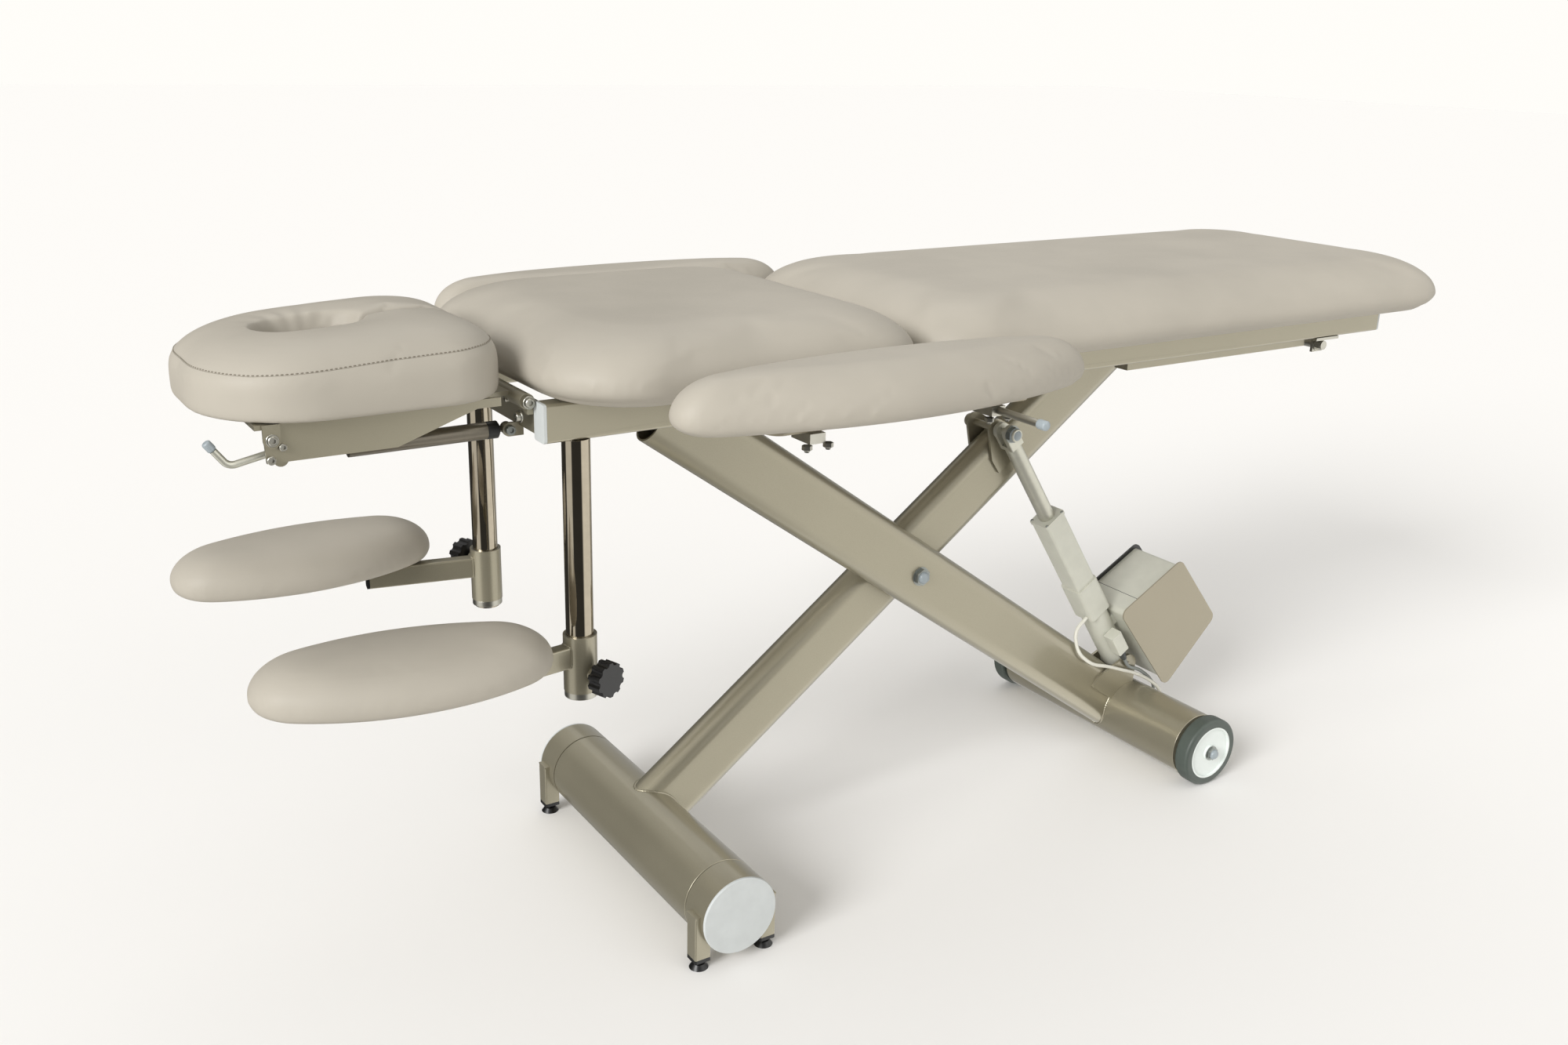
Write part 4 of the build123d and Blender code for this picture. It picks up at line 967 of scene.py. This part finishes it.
@dataclass(frozen=True)
class BarRoot:
    """The line where an armrest's bar meets its post, all lengths in millimetres."""

    y: float
    z: float
    way: Pair
    x: float = -611.0
    post_radius: float = 22.5
    half_width: float = 10.5
    half_height: float = 15.5
    squareness: float = 0.4
    points: int = 97

    def line(self) -> np.ndarray:
        """Carries the bar's rounded square back along the bar to the post.

        The square is a cosine and a sine, each to the power of the squareness with its
        sign kept.

        Returns:
            Rows of places.
        """
        turn = np.linspace(0, 2 * math.pi, self.points)
        wide, tall = (half * np.sign(wave) * np.abs(wave) ** self.squareness
                      for half, wave in ((self.half_width, np.cos(turn)),
                                         (self.half_height, np.sin(turn))))
        x, y = tube_edge((self.x, self.y), self.post_radius, self.way, wide)
        return np.stack([x, y, self.z + tall], axis=1)


@dataclass(frozen=True)
class FlatTab:
    """A flat tab with a round lower end, all lengths in millimetres."""

    x: float = -975.0
    low: float = 810.5
    high: float = 829.0
    half: float = 10.0
    faces: Pair = (-136.9, -140.0)
    steps: int = 17

    def add(self, mould: Mould) -> None:
        """Adds the tab's edge, and its outer face drawn in to the middle.

        Args:
            mould: The mould that takes them.
        """
        turn = np.linspace(2 * math.pi, math.pi, self.steps)
        x = self.x + self.half * np.concatenate([[1], np.cos(turn), [-1]])
        z = np.concatenate([[self.high], self.low + self.half * np.sin(turn), [self.high]])
        inner, outer = (np.stack([x, np.full_like(x, y), z], axis=1) for y in self.faces)
        middle = np.broadcast_to(outer.mean(axis=0), outer.shape)
        mould.grid(np.array([inner, outer, middle]))


@dataclass(frozen=True)
class Gathers:
    """Folds in a cover round one side of a face hole, in metres and degrees."""

    centre: Pair = (-0.890, 0.0)
    half_sides: Pair = (0.062, 0.042)
    depth: float = 0.0045
    heading: float = 100.0
    width: float = 42.0
    folds: int = 16
    fade: float = 2.2
    start_height: float = 0.87
    full_rise: float = 0.02

    def press(self, points: np.ndarray) -> np.ndarray:
        """Lowers points into the folds.

        The folds are a cosine round the hole. They fade outwards from its rim, away from
        their side of it, and below the cushion's top.

        Args:
            points: Rows of places.

        Returns:
            The lowered places.
        """
        offset = points[:, :2] - self.centre
        angle = np.degrees(np.arctan2(offset[:, 1], offset[:, 0]))
        outwards = np.clip(np.hypot(*(offset / self.half_sides).T) - 1, 0, None)
        side = np.exp(-((angle - self.heading) / self.width) ** 2)
        high = np.clip((points[:, 2] - self.start_height) / self.full_rise, 0, 1)
        wave = 0.5 - 0.5 * np.cos(np.radians(angle * self.folds))
        drop = self.depth * high * side * wave * np.exp(-self.fade * outwards)
        return points - drop[:, None] * np.array([0, 0, 1])


@dataclass
class Cushion:
    """A padded node: its shell is remeshed, puffed by a cloth simulation and subdivided.

    The voxel, the reach and the held height are in millimetres.
    """

    node: str
    voxel: float
    smoothing: int
    gathers: Gathers | None = None
    smooth_share: float = 0.5
    quality: int = 5
    mass: float = 0.3
    stiffness: float = 18.0
    bending: float = 4.0
    pressure: float = 4.0
    reach: float = 4.0
    frames: int = 20
    held_height: float = 6.0
    sag_share: float = 0.6

    def shell(self) -> bpy.types.Object:
        """Makes an even quad shell from the node's mesh.

        Returns:
            The shell object.
        """
        mesh = frame["nodes"][self.node].data.copy()
        mesh.materials.clear()
        piece = bpy.data.objects.new(self.node + ".look", mesh)
        bpy.context.scene.collection.objects.link(piece)
        remesh = piece.modifiers.new("even", "REMESH")
        remesh.mode = "VOXEL"
        remesh.voxel_size = self.voxel * MM
        soft = piece.modifiers.new("soft", "SMOOTH")
        soft.factor = self.smooth_share
        soft.iterations = self.smoothing
        graph = bpy.context.evaluated_depsgraph_get()
        even = bpy.data.meshes.new_from_object(piece.evaluated_get(graph))
        piece.modifiers.clear()
        piece.data = even
        return piece

    def puff(self, piece: bpy.types.Object) -> None:
        """Blows the shell up a little, as the foam does to its cover.

        The bottom stays where it is held on the board, and no point moves further than
        the reach.

        Args:
            piece: The shell.
        """
        before = read_points(piece.data)
        held = piece.vertex_groups.new(name="held")
        low = before[:, 2].min() + self.held_height * MM
        held.add(np.flatnonzero(before[:, 2] < low).tolist(), 1.0, "REPLACE")
        cloth = piece.modifiers.new("cover", "CLOTH")
        cloth.settings.quality = self.quality
        cloth.settings.mass = self.mass
        cloth.settings.tension_stiffness = self.stiffness
        cloth.settings.compression_stiffness = self.stiffness
        cloth.settings.bending_stiffness = self.bending
        cloth.settings.use_pressure = True
        cloth.settings.uniform_pressure_force = self.pressure
        cloth.settings.vertex_group_mass = held.name
        cloth.settings.effector_weights.gravity = 0
        cloth.collision_settings.use_collision = False
        cloth.point_cache.frame_end = self.frames
        for number in range(1, self.frames + 1):
            bpy.context.scene.frame_set(number)
        moved = piece.evaluated_get(bpy.context.evaluated_depsgraph_get())
        step = read_points(moved.data) - before
        piece.modifiers.clear()
        length = np.linalg.norm(step, axis=1, keepdims=True)
        cap = self.reach * MM
        step *= np.where(length > cap, cap / np.maximum(length, 1e-9), 1)
        write_points(piece.data, before + step)
        bpy.context.scene.frame_set(1)

    def build(self) -> bpy.types.Object:
        """Makes the finished cushion.

        Returns:
            The cushion object.
        """
        piece = self.shell()
        self.puff(piece)
        if self.gathers is not None:
            write_points(piece.data, self.gathers.press(read_points(piece.data)))
        piece.data.materials.clear()
        piece.data.materials.append(Finish.COVER.material())
        smooth = np.ones(len(piece.data.polygons), dtype=bool)
        piece.data.polygons.foreach_set("use_smooth", smooth)
        rounder = piece.modifiers.new("round", "SUBSURF")
        rounder.levels = 1
        rounder.render_levels = 1
        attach(piece, body_of(self.node))
        Finish.COVER.slot()
        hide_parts(self.node)
        return piece


@dataclass
class StitchedSeam:
    """A stitched seam round a cushion: a thin dark line of painted shade in the seam's groove,
    with a row of stitches above it.

    All lengths are in millimetres. The seam is open at the chest end, and rises from the
    tip of the head towards it.
    """

    cushion: bpy.types.Object
    body: str
    spacing: float = 5.4
    length: float = 3.3
    thickness: float = 0.75
    taper: Place = (0.7, 1.0, 0.7)
    arch: Place = (-0.2, 0.35, -0.2)
    above: float = 1.3
    crease_radius: float = 0.28
    crease_depth: float = 0.1
    sides: int = 6
    end_gap: float = 4.0
    middle: Pair = (-880.0, 0.0)
    outside: Pair = (300.0, 260.0)
    open_angle: float = 10.0
    rays: int = 420
    ray_length: float = 500.0
    tip_x: float = -1060.0
    rise_run: float = 380.0
    tip_height: float = 883.5
    rise: float = 12.0

    def line(self) -> tuple[np.ndarray, np.ndarray]:
        """Finds the seam on the cushion.

        Rays go inwards from an ellipse round the cushion, at a height that rises from the
        tip to the chest end, and stop at the cover.

        Returns:
            Rows of places and the cover's normals there.
        """
        tree = BVHTree.FromObject(self.cushion, bpy.context.evaluated_depsgraph_get())
        places, normals = [], []
        for turn in np.radians(np.linspace(self.open_angle, 360 - self.open_angle, self.rays)):
            way = np.array([math.cos(turn), math.sin(turn)])
            x, y = self.middle + way / np.linalg.norm(way / self.outside)
            share = min(max((x - self.tip_x) / self.rise_run, 0.0), 1.0)
            start = Vector((x, y, self.tip_height + self.rise * share)) * MM
            inwards = Vector((-way[0], -way[1], 0))
            place, normal, *_ = tree.ray_cast(start, inwards, self.ray_length * MM)
            if place is not None:
                places.append(place[:])
                normals.append(normal[:])
        return np.array(places) / MM, np.array(normals)

    def build(self) -> None:
        """Makes the dark line of painted shade in the seam's groove and the stitches, each a
        small arch along the seam.
        """
        places, normals = self.line()
        along = run_length(places)
        crease, thread = Mould(), Mould()
        # The line sunk along the seam is dark seam_shadow, painted shade that stands for the
        # shade in the seam's groove.
        crease.tube(places - normals * self.crease_depth, self.crease_radius, self.sides)
        for spot in np.arange(self.end_gap, along[-1] - self.end_gap, self.spacing):
            spots = spot + np.array([-0.5, 0, 0.5]) * self.length
            ends = np.stack([np.interp(spots, along, column) for column in places.T], axis=1)
            lift = np.array([np.interp(spot, along, column) for column in normals.T])
            lift /= np.linalg.norm(lift)
            up = np.array([0, 0, 1]) - lift * lift[2]
            up *= self.above / np.linalg.norm(up)
            thread.tube(ends + up + lift * np.array(self.arch)[:, None],
                        np.array(self.taper) * self.thickness, self.sides)
        crease.build("head_cushion.crease", self.body, Finish.CREASE)
        thread.build("head_cushion.stitches", self.body, Finish.THREAD)


Rigid = tuple[tuple[str, float, tuple[Finish, ...]], ...]


@dataclass
class SubAssembly:
    """A sub-assembly: its rigid nodes by edge rounding in millimetres and finishes."""

    rigid: Rigid = ()

    def build(self) -> None:
        """Builds the pieces and logs them."""
        for names, edge, finishes in self.rigid:
            for node in names.split():
                RigidPiece(node, finishes, edge).build()
                LOG.info("dressed %s", node)
        self.details()
        LOG.info("finished %s", type(self).__name__)

    def details(self) -> None:
        """Adds what the nodes don't have."""

    def bolted(self, name: str, node: str, bolts: tuple[Bolt, ...], finish: Finish) -> None:
        """Makes one piece of several bolts.

        Args:
            name: The piece's name.
            node: The node whose body carries it.
            bolts: The bolts.
            finish: Their finish.
        """
        mould = Mould()
        for bolt in bolts:
            bolt.add(mould)
        mould.build(name, body_of(node), finish)


@dataclass
class Base(SubAssembly):
    """The floor tube with its end sections, caps and feet, and the first arm."""

    rigid: Rigid = (
        ("base_tube_ends arm_1_floor_sleeve arm_1_tube actuator_ears", 0.8, (Finish.LACQUER,)),
        ("base_end_caps", 1.2, (Finish.GREY_CAP,)),
        ("levelling_feet guide_rollers", 0.6, (Finish.BLACK,)),
        ("base_inner_shaft roller_axle", 0.6, (Finish.ZINC,)))
    arm: ArmRoot = ArmRoot((-426, 78), 59, (0.8064, 0.5914), 26)

    def details(self) -> None:
        """Adds the weld where the arm meets the floor tube."""
        WeldBead("arm_1_weld", "arm_1_tube", self.arm.line()).build()


@dataclass
class RollingEnd(SubAssembly):
    """The beam with its wheels and the second arm."""

    rigid: Rigid = (
        ("arm_2_tube wheel_beam actuator_foot_bracket", 0.8, (Finish.LACQUER,)),
        ("wheel_disc_near wheel_disc_far", 0.8, (Finish.WHITE,)),
        ("tyre_near tyre_far", 0.0, (Finish.TYRE,)),
        ("pivot_bolt cross_shaft wheel_axles", 0.6, (Finish.ZINC,)))
    arm: ArmRoot = ArmRoot((566, 62.5), 58, (-0.8178, 0.5755), -26)
    pivot: Pair = (49, 426.4)
    pivot_nut: tuple[float, ...] = (14.5, 8.5, 9.5, 6.5)
    axle: Pair = (566, 62.5)
    wheel_face: float = 257.6
    wheel_nut: tuple[float, ...] = (12.0, 6.5, 8.6, 7.0)

    def details(self) -> None:
        """Adds the weld, the pivot's nut and the nuts on the axles."""
        WeldBead("arm_2_weld", "arm_2_tube", self.arm.line()).build()
        face = float(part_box("pivot_cap")[1][1]) / MM
        x, z = self.pivot
        pivot = CapNut("pivot_cap", "pivot_cap", (x, face, z), (0, -1, 0), *self.pivot_nut)
        for piece in pivot.build():
            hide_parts("pivot_cap")
        x, z = self.axle
        for side, name in ((-1, "near"), (1, "far")):
            CapNut(f"wheel_{name}", f"wheel_disc_{name}", (x, side * self.wheel_face, z),
                   (0, side, 0), *self.wheel_nut).build()


@dataclass
class TopFrame(SubAssembly):
    """The rails, receivers, channels, posts and end members."""

    rigid: Rigid = (
        ("cross_receivers rail_near rail_far guide_channels head_end_bracket", 0.8,
         (Finish.LACQUER,)),
        ("frame_caps", 0.8, (Finish.GREY_CAP,)),
        ("armrest_posts", 0.6, (Finish.CHROME,)),
        ("foot_cross_bar", 0.6, (Finish.ZINC,)))
    bolts: tuple[Bolt, ...] = (
        Bolt((-668, -152, 822), (0, -1, 0), 6.2, 5.0, 8.5),
        Bolt((-671, -131, 800.5), (-1, 0, 0), 6.0, 7.0, 8.0),
        Bolt((-672.5, -99, 816), (-1, 0, 0), 3.6, 6.0))

    def details(self) -> None:
        """Adds the bolts at the head end."""
        self.bolted("head_end_bolts", "head_end_bracket", self.bolts, Finish.ZINC)


@dataclass
class HeadSection(SubAssembly):
    """The tilting head section with its frame, gas spring and release lever."""

    rigid: Rigid = (
        ("head_frame", 0.8, (Finish.LACQUER,)),
        ("gas_spring_rod", 0.5, (Finish.CHROME,)),
        ("gas_spring_cylinder", 0.8, (Finish.SPRING,)),
        ("release_lever", 0.3, (Finish.SATIN, Finish.NUT_CAP)))
    bolts: tuple[Bolt, ...] = (
        Bolt((-975, -140, 810.5), (0, -1, 0), 5.6, 4.0, 7.6),
        Bolt((-963.5, -137, 801), (0, -1, 0), 4.6, 4.5),
        Bolt((-977.5, -137, 787), (0, -1, 0), 5.2, 4.0))
    tab: FlatTab = FlatTab()
    spring_axis: Pair = (-80.0, 773.0)
    spring_end_setback: float = 21.0
    spring_end: tuple[Pair, ...] = ((0, -1), (8.5, -1), (11.4, 1), (11.4, 15), (10.6, 16),
                                    (0, 16))
    spring_bolt: Bolt = Bolt((-669, -90, 773), (0, -1, 0), 6.2, 6.0)

    def details(self) -> None:
        """Adds the frame's bolts and tab, the spring's fittings, the cushion and its seam."""
        body = body_of("head_frame")
        self.bolted("head_frame_bolts", "head_frame", self.bolts, Finish.ZINC)
        tab = Mould()
        self.tab.add(tab)
        tab.build("head_frame_tab", body, Finish.LACQUER)
        end = Mould()
        x = float(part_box("gas_spring_cylinder")[1][0]) / MM - self.spring_end_setback
        end.turned((x, *self.spring_axis), (-1, 0, 0), self.spring_end)
        end.build("gas_spring_end", body_of("gas_spring_cylinder"), Finish.BLACK)
        self.bolted("gas_spring_bolt", "head_end_bracket", (self.spring_bolt,), Finish.NUT)
        cushion = Cushion("head_cushion", 4.5, 5, Gathers()).build()
        StitchedSeam(cushion, body).build()


@dataclass
class Armrests(SubAssembly):
    """The two armrests on the posts."""

    rigid: Rigid = (
        ("armrest_arm_near armrest_arm_far", 0.6, (Finish.LACQUER,)),
        ("armrest_cap_near armrest_cap_far", 0.8, (Finish.BLACK,)),
        ("liner_bush_near liner_bush_far", 0.6, (Finish.ZINC,)),
        ("armrest_knob_near armrest_knob_far", 0.8, (Finish.BLACK,)))
    bars: tuple[tuple[str, BarRoot], ...] = (
        ("near", BarRoot(-162, 479, (-0.9919, -0.1271))),
        ("far", BarRoot(162, 497, (-0.9816, 0.1908))))
    weld_radius: float = 1.7

    def details(self) -> None:
        """Adds the weld round each bar's root and the pads."""
        for name, bar in self.bars:
            WeldBead(f"armrest_weld_{name}", f"armrest_arm_{name}", bar.line(),
                     self.weld_radius).build()
            Cushion(f"arm_pad_{name}", 5.0, 6).build()
            LOG.info("padded armrest %s", name)


@dataclass
class SidePads(SubAssembly):
    """The two sliding side pads on their rods."""

    rigid: Rigid = (
        ("side_plate_near side_plate_far", 0.6, (Finish.PLATE,)),
        ("side_rods_near side_rods_far", 0.6, (Finish.ZINC,)))
    nut_pairs: Pair = (-423, -145)
    nut_shifts: Pair = (-15, 15)
    nut_seat: Pair = (424, 804.5)
    nut: tuple[Pair, ...] = ((6.4, 0), (6.4, 5.0), (5.6, 5.8), (3.4, 5.8), (3.0, 8.5), (0, 8.5))
    grip: tuple[Pair, ...] = ((0, 0), (6.0, 0), (6.4, 1), (6.4, 12))
    grip_crown: float = 3.5

    def nuts(self, side: int, name: str) -> None:
        """Makes one pad's clip nuts.

        Args:
            side: Sign of the pad's Y.
            name: The side's name.
        """
        mould = Mould()
        y, z = self.nut_seat
        for x in self.nut_pairs:
            for shift in self.nut_shifts:
                mould.turned((x + shift, side * y, z), (0, 0, -1), self.nut, 6)
        mould.build(f"side_clip_nuts_{name}", body_of(f"side_plate_{name}"), Finish.ZINC)

    def pull(self, side: int, name: str) -> None:
        """Makes one pad's grip in its node's place.

        Args:
            side: Sign of the pad's Y.
            name: The side's name.
        """
        node = f"pull_cap_{name}"
        low, high = (np.array(corner, dtype=float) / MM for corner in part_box(node))
        start = (low + high) / 2
        start[1] = low[1] if side > 0 else high[1]
        radius, top = self.grip[-1]
        mould = Mould()
        mould.turned(start, (0, side, 0),
                     np.concatenate([self.grip, dome(radius, self.grip_crown, top)]))
        piece = mould.build(f"{node}.look", body_of(node), Finish.NUT_CAP)
        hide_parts(node)

    def details(self) -> None:
        """Adds the clip nuts, the small grips and the pads."""
        for side, name in ((-1, "near"), (1, "far")):
            self.nuts(side, name)
            self.pull(side, name)
            Cushion(f"side_pad_{name}", 5.5, 6).build()
            LOG.info("padded side pad %s", name)


@dataclass
class Actuator(SubAssembly):
    """The lifting actuator with its control box, plug and leads."""

    rigid: Rigid = (
        ("actuator_body control_box", 1.6, (Finish.CASE,)),
        ("actuator_rod", 0.8, (Finish.SATIN,)),
        ("control_plug", 1.2, (Finish.CASE, Finish.BOOT)),
        ("actuator_leads", 0.0, (Finish.LEAD, Finish.GREY_LEAD)),
        ("box_plate_near", 0.8, (Finish.PLATE,)),
        # The far plate's near-black finish is painted shade for its place behind the box.
        ("box_plate_far", 0.8, (Finish.DARK,)))
    top: Place = (233, -26, 640)
    way: Pair = (0.5531, -0.8331)
    top_nut_face: float = -42
    top_nut: tuple[float, ...] = (13.4, 7.5, 11.3, 8.5)
    screw_along: float = 198
    screw_reach: float = 19
    screw: Pair = (2.6, 1.2)
    parting: Pair = (453.8, 66)
    parting_ends: Pair = (-79, 26)
    parting_steps: int = 24
    parting_radius: float = 0.6

    def at(self, along: float, sideways: float, y: float) -> Place:
        """Gives a place by its distance along and across the actuator's axis.

        Args:
            along: Distance from the upper pin in millimetres.
            sideways: Distance across the axis, in the vertical plane.
            y: Its Y coordinate.

        Returns:
            The place in millimetres.
        """
        x = self.top[0] + self.way[0] * along - self.way[1] * sideways
        z = self.top[2] + self.way[1] * along + self.way[0] * sideways
        return (x, y, z)

    def details(self) -> None:
        """Adds the upper nut, the end plate's screws and the box's parting line."""
        x, y, z = self.top
        CapNut("actuator_top", "actuator_rod", (x, self.top_nut_face, z), (0, -1, 0),
               *self.top_nut).build()
        back = (-self.way[0], 0, -self.way[1])
        reach = (-self.screw_reach, self.screw_reach)
        screws = tuple(Bolt(self.at(self.screw_along, sideways, y + shift), back, *self.screw)
                       for shift in reach for sideways in reach)
        self.bolted("housing_screws", "actuator_body", screws, Finish.NUT)
        parting = Mould()
        line = [self.at(*self.parting, place)
                for place in np.linspace(*self.parting_ends, self.parting_steps)]
        parting.tube(np.array(line), self.parting_radius, 6)
        parting.build("box_parting_line", body_of("control_box"), Finish.BOOT)


@dataclass
class Bed(SubAssembly):
    """The chest and leg cushions."""

    cushions: tuple[Cushion, ...] = (Cushion("chest_cushion", 7.0, 8),
                                     Cushion("leg_cushion", 8.5, 8))

    def details(self) -> None:
        """Makes the two cushions."""
        for cushion in self.cushions:
            cushion.build()
            LOG.info("padded %s", cushion.node)


def main() -> None:
    """Builds the table, the studio and the camera in order."""
    for assembly in (Base(), RollingEnd(), TopFrame(), HeadSection(), Armrests(), SidePads(),
                     Actuator(), Bed()):
        assembly.build()
    Studio().build()
    PhotoCamera().build()


if __name__ == "__main__":
    logging.basicConfig(level=logging.INFO, format="%(name)s: %(message)s")
    main()
